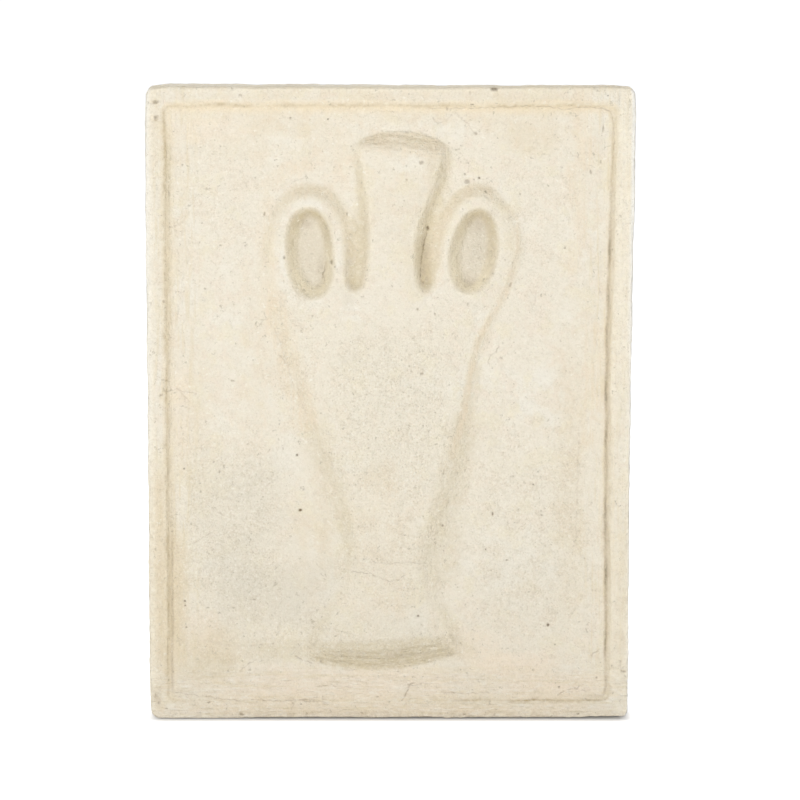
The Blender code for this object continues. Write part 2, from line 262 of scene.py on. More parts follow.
SLOT_BOTTOM = 69.7
SLOT_MIDDLE = 6.5
SLOT_RADIUS = 2.45
SLOT_END_HEIGHT = 3.6
SLOT_END_RUN = 2.2
SLOT_OUTER_SIDE = 9.0
SHOULDER_HEIGHT = 77.0
SHOULDER_FADE = 4.0
SHOULDER_LIFT = 12.0
SHOULDER_RUN = 7.0
NECK_ROOT = 60.0
NECK_ROOT_RUN = 12.0
SLOT_FLOOR_RISE = 0.20
SLOT_FLOOR_START = 90.0
SLOT_FLOOR_RUN = 14.0
SLOT_FLOOR_CURVE = 0.12
SLOT_FLOOR_REACH = 1.3

LEFT_HANDLE = dict(
    centre=(-15.2, 77.8), lean=0.0, edge=(6.1, 9.6), outer=(8.2, 12.7), roundness=2.1,
    outward=-1, rise=0.47, outer_drop=0.62, inward_share=0.88,
)
RIGHT_HANDLE = dict(
    centre=(15.4, 78.3), lean=6.0, edge=(5.2, 9.3), outer=(8.4, 12.1), roundness=2.0,
    outward=1, rise=0.52, outer_drop=0.86, inward_share=0.99,
)
HANDLES = (LEFT_HANDLE, RIGHT_HANDLE)
HANDLE_ROOT = 52.0
HANDLE_ROOT_RUN = 20.0
HANDLE_OUTER_ROOT_LIFT = 14.0
LEFT_EYE = dict(
    centre=(-14.85, 77.6), lean=-4.0, rim=(4.9, 8.85), floor=(1.8, 5.9), floor_shift=(0.5, 0.2),
    roundness=2.5, egg=0.0, rounding=0.25, depth=0.86,
)
RIGHT_EYE = dict(
    centre=(15.2, 78.05), lean=8.8, rim=(5.0, 8.42), floor=(1.8, 5.6), floor_shift=(0.1, -0.2),
    roundness=2.1, egg=0.05, rounding=0.22, depth=0.70,
)
EYES = (LEFT_EYE, RIGHT_EYE)

FORM_FILLET = 0.09
SLOPE_BLEND = 0.5
BANK_ROUNDING = 0.28
LEAST_BANK_RUN = 1.0
BROW_ROUNDING = 0.07
RIPPLES = 9
print(f"vase {VASE_HEIGHT * 1000:.0f} mm high, its foot {FOOT_LEVEL * 1000:.0f} mm from the middle")


# %% Curves and blends
def soft_step(t):
    """0 to 1 with a rounded start and end, as t goes from 0 to 1."""
    t = np.clip(t, 0.0, 1.0)
    return t * t * (3.0 - 2.0 * t)


def fade(value, start, run):
    """0 up to the start and 1 from a run further on. A run below zero leads downwards."""
    return soft_step((value - start) / run)


def bank(t, rounding=BANK_ROUNDING):
    """0 to 1 at an even slope with a rounded foot and brow, as t goes from 0 to 1."""
    t = np.clip(t, 0.0, 1.0)
    near = np.minimum(t, 1 - t)
    even = (near - rounding / 2) / (1 - rounding)
    rounded = near * near / (2 * rounding * (1 - rounding))
    low = np.where(near < rounding, rounded, even)
    return np.where(t < 0.5, low, 1 - low)


def wall_bank(t, curve):
    """0 to 1 like a bank with a sharp brow, the more hollow towards its foot the higher the curve."""
    t = np.clip(t, 0.0, 1.0)
    t = t * t * (1 + BROW_ROUNDING) / (t + BROW_ROUNDING)
    return 1 - (1 - t) ** curve


def smooth_min(a, b, blend):
    overlap = np.clip(blend - abs(a - b), 0.0, None) / blend
    return np.minimum(a, b) - overlap * overlap * blend / 4.0


def filleted(a, b, fillet):
    """The higher of two forms, with a fillet where both stand clear of the field."""
    overlap = np.clip(fillet - abs(a - b), 0.0, None) / fillet
    return np.maximum(a, b) + overlap * overlap * fillet / 4.0 * soft_step(np.minimum(a, b) / fillet)


def through(stations, column, height):
    """A smooth curve through one column of the stations, read at each height."""
    knots = np.array([station[0] for station in stations])
    values = np.array([station[column] for station in stations])
    tangents = np.gradient(values, knots)
    height = np.clip(height, knots[0], knots[-1])
    start = np.clip(np.searchsorted(knots, height) - 1, 0, len(knots) - 2)
    span = knots[start + 1] - knots[start]
    t = (height - knots[start]) / span
    ends = values[start] * (1 + 2 * t) * (1 - t) ** 2 + values[start + 1] * t * t * (3 - 2 * t)
    bends = tangents[start] * t * (1 - t) ** 2 - tangents[start + 1] * t * t * (1 - t)
    return ends + span * bends


def hand_waves(x, z, wavelength, seed):
    """Soft ups and downs of about one either way, from ripples with random directions."""
    random = np.random.default_rng(seed)
    total = np.zeros_like(x)
    for _ in range(RIPPLES):
        turn, phase = random.uniform(0, 2 * math.pi, 2)
        length = wavelength * random.uniform(0.65, 1.5)
        total += np.sin((x * math.cos(turn) + z * math.sin(turn)) * 2 * math.pi / length + phase)
    return total / math.sqrt(RIPPLES)


def strays(x, z, waves, seed):
    """Ripples of several wavelengths at once, each with its own height."""
    return sum(height * hand_waves(x, z, wavelength, seed) for wavelength, height in waves)


# %% Forms of the vase
def turned_form(edges, slopes, across, height):
    """A form like half a turned pot: a slope up from the field on either side of a low dome."""
    left, right = (through(edges, column, height) for column in (1, 2))
    left_run, right_run, left_rise, right_rise, crown = (
        through(slopes, column, height) for column in range(1, 6)
    )
    outer_left = left - left_run
    outer_right = right + right_run
    place = np.clip((across - outer_left) / (outer_right - outer_left), 0.0, 1.0)
    dome = 1 - (2 * place - 1) ** 2
    side_rise = left_rise + (right_rise - left_rise) * place
    slope = smooth_min((across - outer_left) / left_run, (outer_right - across) / right_run, SLOPE_BLEND)
    return (side_rise + (crown - side_rise) * dome) * bank(slope)


def leaned(across, height, centre, lean):
    """Place measured from the centre of a form that leans over, in degrees to the right."""
    c = math.cos(math.radians(lean))
    s = math.sin(math.radians(lean))
    right = across - centre[0]
    up = height - centre[1]
    return right * c - up * s, right * s + up * c


def oval_radius(across, along, half_size, roundness, egg=0.0):
    """1 on the oval, less inside it. An egg above 0 narrows towards its top, and below 0 it widens."""
    half_width = half_size[0] * (1 - egg * along / half_size[1])
    sides = (abs(across) / half_width) ** roundness
    ends = (abs(along) / half_size[1]) ** roundness
    return np.maximum(sides + ends, 1e-9) ** (1 / roundness)


def between_ovals(inner, outer):
    """1 on the inner oval and 0 on the outer one, from the radii measured in each."""
    return inner * (1 - outer) / np.maximum(inner - outer, 1e-9)


def handle_place(across, height, handle):
    """1 on the crest of a handle's arch and 0 at its foot. Its legs run straight down."""
    right, up = leaned(across, height, handle["centre"], handle["lean"])
    up = np.maximum(up, 0.0)
    edge = oval_radius(right, up, handle["edge"], handle["roundness"])
    share = np.where(handle["outward"] * right < 0, handle["inward_share"], 1.0)
    outer = oval_radius(right * share, up, handle["outer"], handle["roundness"])
    return between_ovals(edge, outer)


def handle_form(across, height, handle):
    """A raised arch around the eye, whose legs run down into the shoulder."""
    right = leaned(across, height, handle["centre"], handle["lean"])[0]
    outward = soft_step(handle["outward"] * right / handle["edge"][0])
    root = soft_step((height - HANDLE_ROOT - HANDLE_OUTER_ROOT_LIFT * outward) / HANDLE_ROOT_RUN)
    rise = handle["rise"] * (1 - handle["outer_drop"] * outward) * root
    return rise * bank(handle_place(across, height, handle))


def eye_form(across, height, eye):
    """0 at the rim of the eye, and its share of the full depth on its floor."""
    right, up = leaned(across, height, eye["centre"], eye["lean"])
    shift_right, shift_up = eye["floor_shift"]
    floor = oval_radius(right - shift_right, up - shift_up, eye["floor"], eye["roundness"], eye["egg"])
    rim = oval_radius(right, up, eye["rim"], eye["roundness"], eye["egg"])
    return eye["depth"] * bank(between_ovals(floor, rim), eye["rounding"])


def lip_place(across, height):
    """0 at the upper edge of the lip's bank and 1 at its lower edge."""
    crown = LIP_CROWN - LIP_CROWN_DROP * (across - LIP_MIDDLE) ** 2
    edge = LIP_EDGE_HEIGHT + LIP_EDGE_TILT * (across - LIP_MIDDLE)
    return (crown - height) / np.maximum(crown - edge, LEAST_BANK_RUN)


def foot_place(across, height):
    """0 at the lower edge of the foot's bank and 1 at its upper edge."""
    base = FOOT_BASE + FOOT_BASE_LIFT * (across - FOOT_MIDDLE) ** 2
    edge = FOOT_EDGE_HEIGHT + FOOT_EDGE_TILT * across
    return (height - base) / np.maximum(edge - base, LEAST_BANK_RUN)


def neck_form(across, height):
    root = soft_step((height - NECK_ROOT) / NECK_ROOT_RUN)
    sides = turned_form(NECK_EDGES, NECK_SLOPES, across, height)
    return sides * bank(lip_place(across, height)) * root


def body_form(across, height):
    into_end = np.minimum(height - SLOT_BOTTOM - SLOT_END_HEIGHT, 0.0) * SLOT_RADIUS / SLOT_END_HEIGHT
    from_slot = np.hypot(abs(across) - SLOT_MIDDLE, into_end) - SLOT_RADIUS
    top = SHOULDER_HEIGHT + SHOULDER_LIFT * soft_step((abs(across) - SLOT_OUTER_SIDE) / SHOULDER_RUN)
    shoulder = bank(1 + from_slot / SLOT_END_RUN) * soft_step((top - height) / SHOULDER_FADE)
    sides = turned_form(BODY_EDGES, BODY_SLOPES, across, height)
    return sides * bank(foot_place(across, height)) * shoulder


def slot_floor(across, height):
    """The slots' floors curve up to their walls, and the left one comes up towards its end."""
    from_middle = abs(abs(across) - SLOT_MIDDLE) / SLOT_RADIUS
    curve = SLOT_FLOOR_CURVE * np.minimum(from_middle, SLOT_FLOOR_REACH) ** 2
    level = np.where(across < 0, SLOT_FLOOR_RISE, 0.0) + curve
    down_slot = soft_step((SLOT_FLOOR_START - height) / SLOT_FLOOR_RUN)
    return level * soft_step(2 - from_middle) * down_slot * soft_step(height - SLOT_BOTTOM + 1)


def in_vase(x, z):
    """A place of the panel in the vase's own hundredths."""
    return x / PART, (z - FOOT_LEVEL) / PART


def vase_rise(x, z):
    """Height of the vase above the field, without its eyes."""
    across, height = in_vase(x, z)
    handles = np.maximum(*(handle_form(across, height, handle) for handle in HANDLES))
    upper = np.maximum(neck_form(across, height), handles)
    body = np.maximum(body_form(across, height), slot_floor(across, height))
    return VASE_RISE * filleted(upper, body, FORM_FILLET)


def eye_sinking(x, z):
    across, height = in_vase(x, z)
    return EYE_DEPTH * np.maximum(*(eye_form(across, height, eye) for eye in EYES))


# %% Field, border and arris
def by_corner(x, z, roundings):
    top_left, top_right, bottom_left, bottom_right = roundings
    top = np.where(x < 0, top_left, top_right)
    bottom = np.where(x < 0, bottom_left, bottom_right)
    return np.where(z > 0, top, bottom)


def inside_rounded(side, level, radius):
    """Distance in from a rectangle with rounded corners, given the distances from its sides."""
    u = np.maximum(radius - side, 0.0)
    v = np.maximum(radius - level, 0.0)
    return np.where(u + v > 0, radius - np.sqrt(u * u + v * v), np.minimum(side, level))


def right_lip(z):
    """Where the right border's flat top ends, at each height."""
    swell = RIGHT_BORDER_SWELL * soft_step(1 - abs(z - RIGHT_SWELL_HEIGHT) / RIGHT_SWELL_REACH)
    return HALF_WIDTH - BORDER_RIGHT + RIGHT_BORDER_TAPER * z / HALF_HEIGHT - swell


def border_sides(x, z):
    """Distances in from the left, right, top and bottom lips."""
    from_top = HALF_HEIGHT - BORDER_TOP - z
    from_bottom = z + HALF_HEIGHT - BORDER_BOTTOM
    return np.stack([x - LEFT_LIP, right_lip(z) - x, from_top, from_bottom])


def inside_border(x, z):
    left, right, top, bottom = border_sides(x, z)
    side, level = np.minimum(left, right), np.minimum(top, bottom)
    inside = inside_rounded(side, level, by_corner(x, z, INNER_ROUNDINGS))
    return inside + strays(x, z, LINE_WANDERS, seed=51)


def inside_outline(x, z):
    side = HALF_WIDTH - abs(x)
    level = HALF_HEIGHT - abs(z)
    return inside_rounded(side, level, by_corner(x, z, OUTLINE_ROUNDINGS))


def by_side(x, z, values):
    """One of four values, for the left, right, top and bottom wall, changing softly between them."""
    weights = np.exp(-np.maximum(border_sides(x, z), 0.0) / WALL_RUN_BLEND)
    return (weights * np.array(values)[:, None]).sum(axis=0) / np.maximum(weights.sum(axis=0), 1e-9)


def field_level(x, z):
    """The field above its lowest place."""
    from_border = HALF_HEIGHT - (BORDER_TOP + BORDER_BOTTOM) / 2 - abs(z)
    lift = FIELD_LIFT * soft_step(1 - from_border / FIELD_LIFT_RUN)
    return lift + FIELD_TILT * (0.5 - x / PANEL_WIDTH)


def cast_depth(x, z):
    """Thickness of the panel as it left the mould, from its flat back."""
    field = field_level(x, z)
    wall = 1 - wall_bank(inside_border(x, z) / by_side(x, z, WALL_RUNS), by_side(x, z, WALL_CURVES))
    border = field + (BORDER_RISE - field) * wall
    carved = np.maximum(border, field + vase_rise(x, z) * (1 - wall)) - eye_sinking(x, z)
    worn = np.clip(1 - inside_outline(x, z) / ARRIS_RADIUS, 0.0, 1.0)
    return FIELD_THICKNESS + carved - ARRIS_RADIUS * (1 - np.sqrt(1 - worn * worn))


middle = np.zeros(1)
print(f"thickness in the middle {cast_depth(middle, middle)[0] * 1000:.1f} mm")

# %% [markdown]
# ## What the hand left
#
# A plaster cast that was scraped and brushed by hand is never flat. The field and the border rise
# and fall by a few tenths of a millimetre, strokes of the scraper run along the banks of the lip
# and the foot, and the wall of the border ends in a small groove where the tool's corner ran. Each
# is a small height of its own, added to the cast form. Crossing ripples with random directions
# make soft ground that doesn't repeat.

# %% Unevenness and tool strokes
GROUND_WAVES = ((0.105, 0.00034), (0.026, 0.00013), (0.009, 0.00005))  # wavelength and height
LIP_STROKES = (3.4, 1.6)  # how many lie side by side, and how far they sway
FOOT_STROKES = (4.2, 1.4)
STROKE_SWAY = 0.055
STROKE_HEIGHT = 0.00042
BANK_START = 0.12
BANK_END = 1.12
BANK_FADE = 0.2
LIP_MARGINS = (1.0, 1.6, 2.0)  # left, right, and the run of the fade
FOOT_MARGINS = (2.5, 2.5, 3.0)
FOOT_TOP = 12
GROOVE_HALF_WIDTH = 0.0026
GROOVE_DEPTH = 0.0011
GROOVE_PLACE = 0.0066
GROOVE_LOW_LEFT = 0.55
GROOVE_LEFT_FADE = (-0.10, -0.10)  # start and run of a fade
GROOVE_HIGH_RIGHT = 0.45
GROOVE_RIGHT_FADE = (0.24, -0.06)
GROOVE_WAVES = 0.06
LONGWISE = 0.3  # stretches waves in one direction


def on_bank(place, edges, margins, across, height):
    """1 on a bank whose place goes from 0 to 1, between the edges of its form, and 0 off it."""
    left, right = (through(edges, column, height) for column in (1, 2))
    beyond_left, beyond_right, run = margins
    within = fade(across, left - beyond_left, run) * fade(across, right + beyond_right, -run)
    return fade(place, 0, BANK_START) * fade(place, BANK_END, -BANK_FADE) * within


def lip_bank(x, z):
    across, height = in_vase(x, z)
    return on_bank(lip_place(across, height), NECK_EDGES, LIP_MARGINS, across, height)


def foot_bank(x, z):
    across, height = in_vase(x, z)
    bank_share = on_bank(foot_place(across, height), BODY_EDGES, FOOT_MARGINS, across, height)
    return bank_share * (height < FOOT_TOP)


def stroke(place, strokes, drift):
    count, sway = strokes
    return np.sin(2 * math.pi * count * place + sway * drift)


def tool_strokes(x, z):
    """Long shallow scrapes that follow the banks of lip and foot."""
    across, height = in_vase(x, z)
    drift = hand_waves(x, z * LONGWISE, STROKE_SWAY, seed=11)
    lip = stroke(lip_place(across, height), LIP_STROKES, drift)
    foot = stroke(foot_place(across, height), FOOT_STROKES, drift)
    return lip * lip_bank(x, z) + foot * foot_bank(x, z)


def groove_strength(x, z):
    """How deep the groove at the wall's foot is: deep on the right, faint low on the left."""
    left = GROOVE_LOW_LEFT * fade(z, *GROOVE_LEFT_FADE)
    right = GROOVE_HIGH_RIGHT + (1 - GROOVE_HIGH_RIGHT) * fade(z, *GROOVE_RIGHT_FADE)
    strength = np.where(x < 0, left * by_side(x, z, (1, 0, 0, 0)), right * by_side(x, z, (0, 1, 0, 0)))
    return strength * (0.8 + 0.25 * hand_waves(x, z, GROOVE_WAVES, seed=5))


def groove_shape(x, z):
    """1 in the middle of the groove at the wall's foot, 0 away from it."""
    from_middle = abs(inside_border(x, z) - GROOVE_PLACE)
    return np.clip(1 - from_middle / GROOVE_HALF_WIDTH, 0.0, 1.0)


def hand_rise(x, z):
    total = sum(strays(x, z, (waves,), seed) for seed, waves in enumerate(GROUND_WAVES, start=1))
    total += STROKE_HEIGHT * tool_strokes(x, z)
    return total - GROOVE_DEPTH * groove_strength(x, z) * groove_shape(x, z)


# %% [markdown]
# ## Pits, cracks and scratches
#
# Air bubbles leave round pits in cast plaster, drying opens hairline cracks, and handling adds
# scratches and chips. The ones that show from a step away are placed one by one, measured in
# millimetres from the panel's middle. They are real dents in the mesh, with a share of dirt
# in each, so they also show in a plain grey view of the model.

# %% Marks of casting and age
MILLIMETRE = 0.001

# Across, up, half width, half height, depth, turn in degrees, share of dirt
PITS = (
    (-277.7, 364.1, 4.3, 2.5, 1.8, 5, 0.55),
    (-278.1, 344.8, 2.6, 3.4, 1.8, 20, 0.60),
    (-177.5, 372.2, 2.2, 1.6, 0.8, 0, 0.45),
    (-118.7, 344.9, 1.5, 1.5, 0.8, 0, 0.60),
    (93.5, 376.2, 2.2, 1.0, 0.6, 0, 0.50),
    (122.0, 379.2, 5.0, 2.0, 1.6, 0, 0.80),
    (100.2, 326.4, 2.8, 1.8, 0.8, -35, 0.50),
    (36.2, 292.8, 3.2, 2.4, 0.9, 30, 0.50),
    (18.8, 272.1, 1.6, 1.6, 0.6, 0, 0.35),
    (90.5, 269.1, 3.4, 2.6, 1.2, 15, 0.50),
    (104.9, 273.3, 1.5, 1.5, 0.9, 0, 0.85),
    (98.6, 271.4, 1.3, 1.0, 0.6, 0, 0.50),
    (87.9, 277.9, 1.6, 1.4, 0.7, 0, 0.50),
    (114.0, 272.6, 1.1, 1.1, 0.5, 0, 0.40),
    (251.4, 332.2, 0.9, 4.6, 0.9, 0, 0.60),
    (249.0, 292.6, 0.9, 2.6, 0.6, 0, 0.45),
    (237.0, 280.3, 1.5, 3.0, 0.8, 20, 0.50),
    (44.0, 213.5, 1.6, 3.0, 1.0, 0, 0.85),
    (-70.4, 173.4, 1.2, 3.0, 0.8, 0, 0.70),
    (-126.8, 179.1, 1.6, 2.6, 0.9, 0, 0.70),
    (-150.0, 230.5, 1.4, 2.8, 0.7, 0, 0.55),
    (142.2, 145.3, 1.6, 3.4, 0.8, -20, 0.50),
    (207.0, 189.5, 1.1, 1.1, 0.6, 0, 0.60),
    (31.8, 117.9, 1.4, 1.6, 0.8, 0, 0.70),
    (52.5, 111.8, 1.1, 1.1, 0.6, 0, 0.60),
    (-188.8, 30.2, 2.8, 1.2, 0.7, -10, 0.50),
    (-112.4, -60.0, 1.8, 1.6, 1.0, 30, 0.90),
    (-108.7, -126.8, 2.4, 1.9, 1.2, 0, 1.00),
    (-205.1, -80.3, 1.3, 1.6, 0.8, 0, 0.65),
    (122.1, -131.5, 1.2, 2.4, 1.0, 0, 0.90),
    (181.1, -133.1, 1.6, 0.9, 0.6, 0, 0.50),
    (62.3, -145.2, 1.6, 1.6, 0.6, 0, 0.50),
    (113.9, -175.0, 1.2, 1.2, 0.8, 0, 0.75),
    (139.3, -188.0, 1.6, 1.2, 0.6, 0, 0.50),
    (189.4, -267.7, 1.8, 1.7, 1.1, 0, 1.00),
    (32.7, -254.8, 1.6, 1.6, 0.9, 0, 0.80),
    (-247.7, -237.8, 1.6, 1.4, 0.8, 0, 0.75),
    (-247.5, -243.4, 1.3, 1.1, 0.7, 0, 0.70),
    (-246.1, -269.7, 1.3, 1.3, 0.7, 0, 0.60),
    (36.9, 40.0, 2.4, 1.8, 0.6, 10, 0.50),
    (-164.7, -236.1, 2.6, 1.0, 0.5, 5, 0.45),
    (203.0, -343.3, 1.2, 1.2, 0.6, 0, 0.60),
    (-16.3, -354.8, 2.0, 0.9, 0.6, 0, 0.55),
    (-279.7, 273.9, 1.2, 1.6, 0.7, 0, 0.60),
    (-269.8, 126.3, 1.8, 2.4, 0.8, 30, 0.50),
    (-83.8, -312.0, 1.8, 0.9, 0.5, 0, 0.50),
    (-52.0, 230.4, 1.0, 2.0, 0.6, 0, 0.50),
    (66.6, 356.0, 1.2, 2.8, 0.7, 10, 0.50),
    (96.1, 361.0, 2.4, 0.9, 0.6, 0, 0.70),
    (248.2, -331.7, 1.4, 1.8, 0.6, 0, 0.50),
    (-274.7, 14.0, 1.6, 2.0, 0.7, 0, 0.50),
    (-283.0, -352.0, 1.6, 3.0, 0.8, 0, 0.60),
    (-280.5, -362.0, 1.4, 2.0, 0.7, 0, 0.55),
    (-271.0, -369.0, 2.4, 1.2, 0.6, 0, 0.50),
    (-180.0, -376.0, 3.4, 1.6, 0.8, -15, 0.60),
    (-101.0, -375.0, 1.4, 1.2, 0.6, 0, 0.50),
    (-35.0, -374.5, 1.8, 1.2, 0.6, 0, 0.50),
    (89.0, -376.0, 2.6, 1.2, 0.7, 0, 0.60),
    (226.0, -375.5, 2.2, 1.4, 0.7, 0, 0.70),
    (-219.3, -361.3, 2.2, 1.0, 0.5, 20, 0.50),
    (-118.0, -362.5, 1.8, 0.9, 0.5, 0, 0.50),
)

# Half width and depth in millimetres, share of dirt, then places across and up
CRACKS = (
    (0.7, 0.5, 0.35, ((-118.9, 265.5), (-111.2, 270.3), (-102.9, 274.5))),
    (0.6, 0.3, 0.25, ((-36.4, 345.4), (-22.2, 351.3), (-6.9, 353.7), (8.5, 351.9))),
    (0.7, 0.4, 0.35, ((49.8, 344.8), (55.8, 337.7), (66.4, 341.2), (72.3, 351.9))),
    (0.6, 0.4, 0.35, ((75.8, 351.9), (85.3, 341.2), (93.6, 335.3), (100.7, 325.7))),
    (0.6, 0.3, 0.25, ((76.0, 309.0), (85.5, 299.5), (93.8, 288.7), (91.5, 280.3))),
    (0.6, 0.4, 0.25, ((191.9, 324.5), (201.4, 313.7), (216.9, 299.4), (233.6, 287.4), (237.3, 279.1))),
    (0.8, 0.5, 0.50, ((-160.6, 105.8), (-153.5, 102.8), (-146.3, 105.8))),
    (0.7, 0.5, 0.45, ((-151.0, 113.0), (-149.3, 105.8), (-155.9, 97.4))),
    (0.7, 0.3, 0.25, ((-143.9, 101.0), (-132.1, 76.9), (-123.9, 52.8), (-119.2, 31.1), (-105.0, 0.8))),
    (0.8, 0.5, 0.45, ((-133.4, 62.4), (-127.4, 55.2), (-123.9, 48.0))),
    (0.8, 0.5, 0.50, ((128.4, 71.9), (124.9, 64.7), (118.3, 58.6), (116.0, 51.4))),
    (0.8, 0.4, 0.25, ((172.8, 138.0), (171.7, 124.8), (165.8, 114.0))),
    (0.6, 0.3, 0.40, ((-22.6, -188.5), (-1.0, -190.3), (20.6, -188.7), (41.1, -191.9))),
    (0.6, 0.4, 0.60, ((-46.6, -201.0), (-27.4, -202.8), (-13.0, -207.6), (-2.2, -212.5))),
    (0.6, 0.4, 0.55, ((-2.2, -212.5), (8.6, -210.7), (17.6, -204.7))),
    (0.6, 0.3, 0.30, ((-91.1, -190.2), (-82.7, -198.8))),
    (0.6, 0.3, 0.40, ((-274.1, 21.2), (-265.9, 17.9), (-254.1, 19.7), (-242.2, 16.1), (-231.5, 15.4))),
    (0.6, 0.3, 0.30, ((-254.1, 19.7), (-247.0, 11.8), (-239.9, 5.8))),
    (0.8, 0.4, 0.35, ((-246.0, -169.3), (-231.5, -164.4), (-215.9, -154.6))),
    (0.8, 0.4, 0.40, ((-214.5, -124.1), (-208.5, -130.2), (-200.1, -133.3))),
    (0.9, 0.6, 0.50, ((-114.3, -305.1), (-104.7, -310.6), (-96.2, -313.7))),
    (0.8, 0.4, 0.35, ((-181.9, -323.3), (-172.2, -314.8), (-162.5, -309.9))),
    (0.9, 0.7, 0.70, ((29.2, -337.6), (23.1, -339.4), (20.7, -346.8), (15.9, -355.3), (12.9, -359.6))),
    (0.7, 0.5, 0.55, ((20.7, -340.0), (28.0, -341.9), (38.8, -338.2))),
    (0.7, 0.4, 0.45, ((-121.7, -356.9), (-107.2, -358.5), (-90.3, -355.8), (-80.6, -356.9))),
    (0.6, 0.4, 0.40, ((-121.7, -357.4), (-117.4, -363.3), (-119.3, -369.5))),
    (0.9, 0.6, 0.50, ((201.8, -351.9), (211.4, -347.6), (223.5, -344.5), (231.9, -339.7))),
    (0.7, 0.4, 0.40, ((211.4, -350.1), (225.9, -348.2), (240.4, -347.6))),
    (1.1, 1.0, 0.75, ((276.1, -310.3), (277.4, -321.4), (283.4, -323.9))),
    (0.9, 0.6, 0.50, ((249.8, -299.5), (243.8, -302.5), (242.0, -306.1))),
    (0.8, 0.5, 0.45, ((238.8, -264.1), (234.6, -269.0), (235.8, -276.3))),
    (1.6, 0.25, 0.18, ((225.2, -33.4), (224.3, -78.3), (223.4, -127.0), (222.5, -169.7))),
    (1.6, 0.25, 0.15, ((-223.9, -285.6), (-193.8, -292.9), (-155.3, -291.7))),
    (0.9, 0.3, 0.50, ((-168.1, -357.5), (-140.0, -359.5), (-110.0, -359.0), (-78.0, -361.5))),
    (0.7, 0.3, 0.45, ((-259.8, -349.5), (-232.0, -353.0), (-205.0, -357.0), (-182.0, -359.0))),
    (0.8, 0.3, 0.40, ((-96.0, -343.0), (-70.0, -341.0), (-48.0, -344.0))),
    (0.8, 0.3, 0.40, ((60.0, -349.0), (84.0, -351.0), (118.0, -350.0))),
    (0.6, 0.3, 0.50, (
        (46.5, 356.0), (94.2, 356.5), (129.9, 358.0), (169.2, 359.3), (189.5, 357.7), (205.0, 354.5)
    )),
    (0.6, 0.3, 0.55, (
        (205.0, 354.5), (219.3, 357.1), (237.2, 357.7), (251.5, 355.9), (259.8, 351.7), (263.4, 342.1)
    )),
    (0.7, 0.3, 0.55, ((263.4, 342.1), (264.6, 325.3), (263.4, 301.3), (262.2, 283.3))),
    (0.9, 0.6, 0.95, ((43.6, 213.5), (40.6, 198.0), (36.3, 176.6), (34.7, 154.8), (38.9, 146.6))),
    (0.9, 0.6, 0.70, ((-77.1, 172.9), (-79.1, 163.1), (-81.3, 153.6))),
)
print(f"{len(PITS)} pits and {len(CRACKS)} cracks and scratches")

# %% Press the marks in
CRACK_WANDER = 0.0007
CRACK_WANDER_WAVES = 0.012
CRACK_BREAK_WAVES = 0.009
CRACK_BRINK = 1.2  # in half widths, like the pit's brink
CRACK_DIRT = 0.85
PIT_BRINK = 1.25
PIT_WALL = 0.75
MARK_REACH = 0.012


def pit_radius(x, z, pit):
    """1 on the rim of a pit and 0 in its middle."""
    across, up, half_width, half_height, _, turn, _ = pit
    c, s = math.cos(math.radians(turn)), math.sin(math.radians(turn))
    right = x - across * MILLIMETRE
    rise = z - up * MILLIMETRE
    u = (right * c + rise * s) / (half_width * MILLIMETRE)
    v = (rise * c - right * s) / (half_height * MILLIMETRE)
    return np.hypot(u, v)


def line_distance(x, z, places):
    """Distance in metres from a line through the places, which wanders a little."""
    wander_x, wander_z = (CRACK_WANDER * hand_waves(x, z, CRACK_WANDER_WAVES, seed) for seed in (21, 22))
    nearest = np.full(x.shape, 1.0)
    for start, end in zip(places, places[1:]):
        ax, az = start[0] * MILLIMETRE, start[1] * MILLIMETRE
        run, rise = end[0] * MILLIMETRE - ax, end[1] * MILLIMETRE - az
        u = x + wander_x - ax
        v = z + wander_z - az
        share = np.clip((u * run + v * rise) / (run * run + rise * rise), 0.0, 1.0)
        nearest = np.minimum(nearest, np.hypot(u - share * run, v - share * rise))
    return nearest


def near(x, z, places):
    """The vertices in a box around some places, so that each mark only works on its own few."""
    across = [place[0] * MILLIMETRE for place in places]
    up = [place[1] * MILLIMETRE for place in places]
    inside_x = (x > min(across) - MARK_REACH) & (x < max(across) + MARK_REACH)
    inside_z = (z > min(up) - MARK_REACH) & (z < max(up) + MARK_REACH)
    return np.nonzero(inside_x & inside_z)[0]


def each_mark(x, z):
    """For each pit and crack: the vertices near it, its shape, depth, dirt, and how far off it is."""
    for pit in PITS:
        found = near(x, z, [pit[:2]])
        radius = pit_radius(x[found], z[found], pit)
        away = (radius - 1) * min(pit[2:4]) * MILLIMETRE
        yield found, soft_step((PIT_BRINK - radius) / PIT_WALL), pit[4], pit[6], away
    for half_width, depth, dirt, places in CRACKS:
        found = near(x, z, places)
        from_line = line_distance(x[found], z[found], places)
        half_width *= MILLIMETRE
        broken = 0.8 + 0.45 * hand_waves(x[found], z[found], CRACK_BREAK_WAVES, seed=23)
        shape = np.clip(broken, 0.2, 1.0) * np.clip(CRACK_BRINK - from_line / half_width, 0.0, 1.0)
        yield found, shape, depth, dirt * CRACK_DIRT, from_line - half_width


def press_marks(x, z):
    """Depth of the pits and cracks in metres, the dirt in them, and the distance to the nearest."""
    depth = np.zeros_like(x)
    dirt = np.zeros_like(x)
    distance = np.full(x.shape, 1.0)
    for found, shape, deep, dirty, away in each_mark(x, z):
        depth[found] = np.maximum(depth[found], deep * MILLIMETRE * shape)
        dirt[found] = np.maximum(dirt[found], dirty * shape)
        distance[found] = np.minimum(distance[found], away)
    return depth, dirt, distance


def finished_depth(x, z):
    """Thickness of the panel as it hangs today."""
    return cast_depth(x, z) + hand_rise(x, z) - press_marks(x, z)[0]


print("deepest mark", max(pit[4] for pit in PITS), "mm")

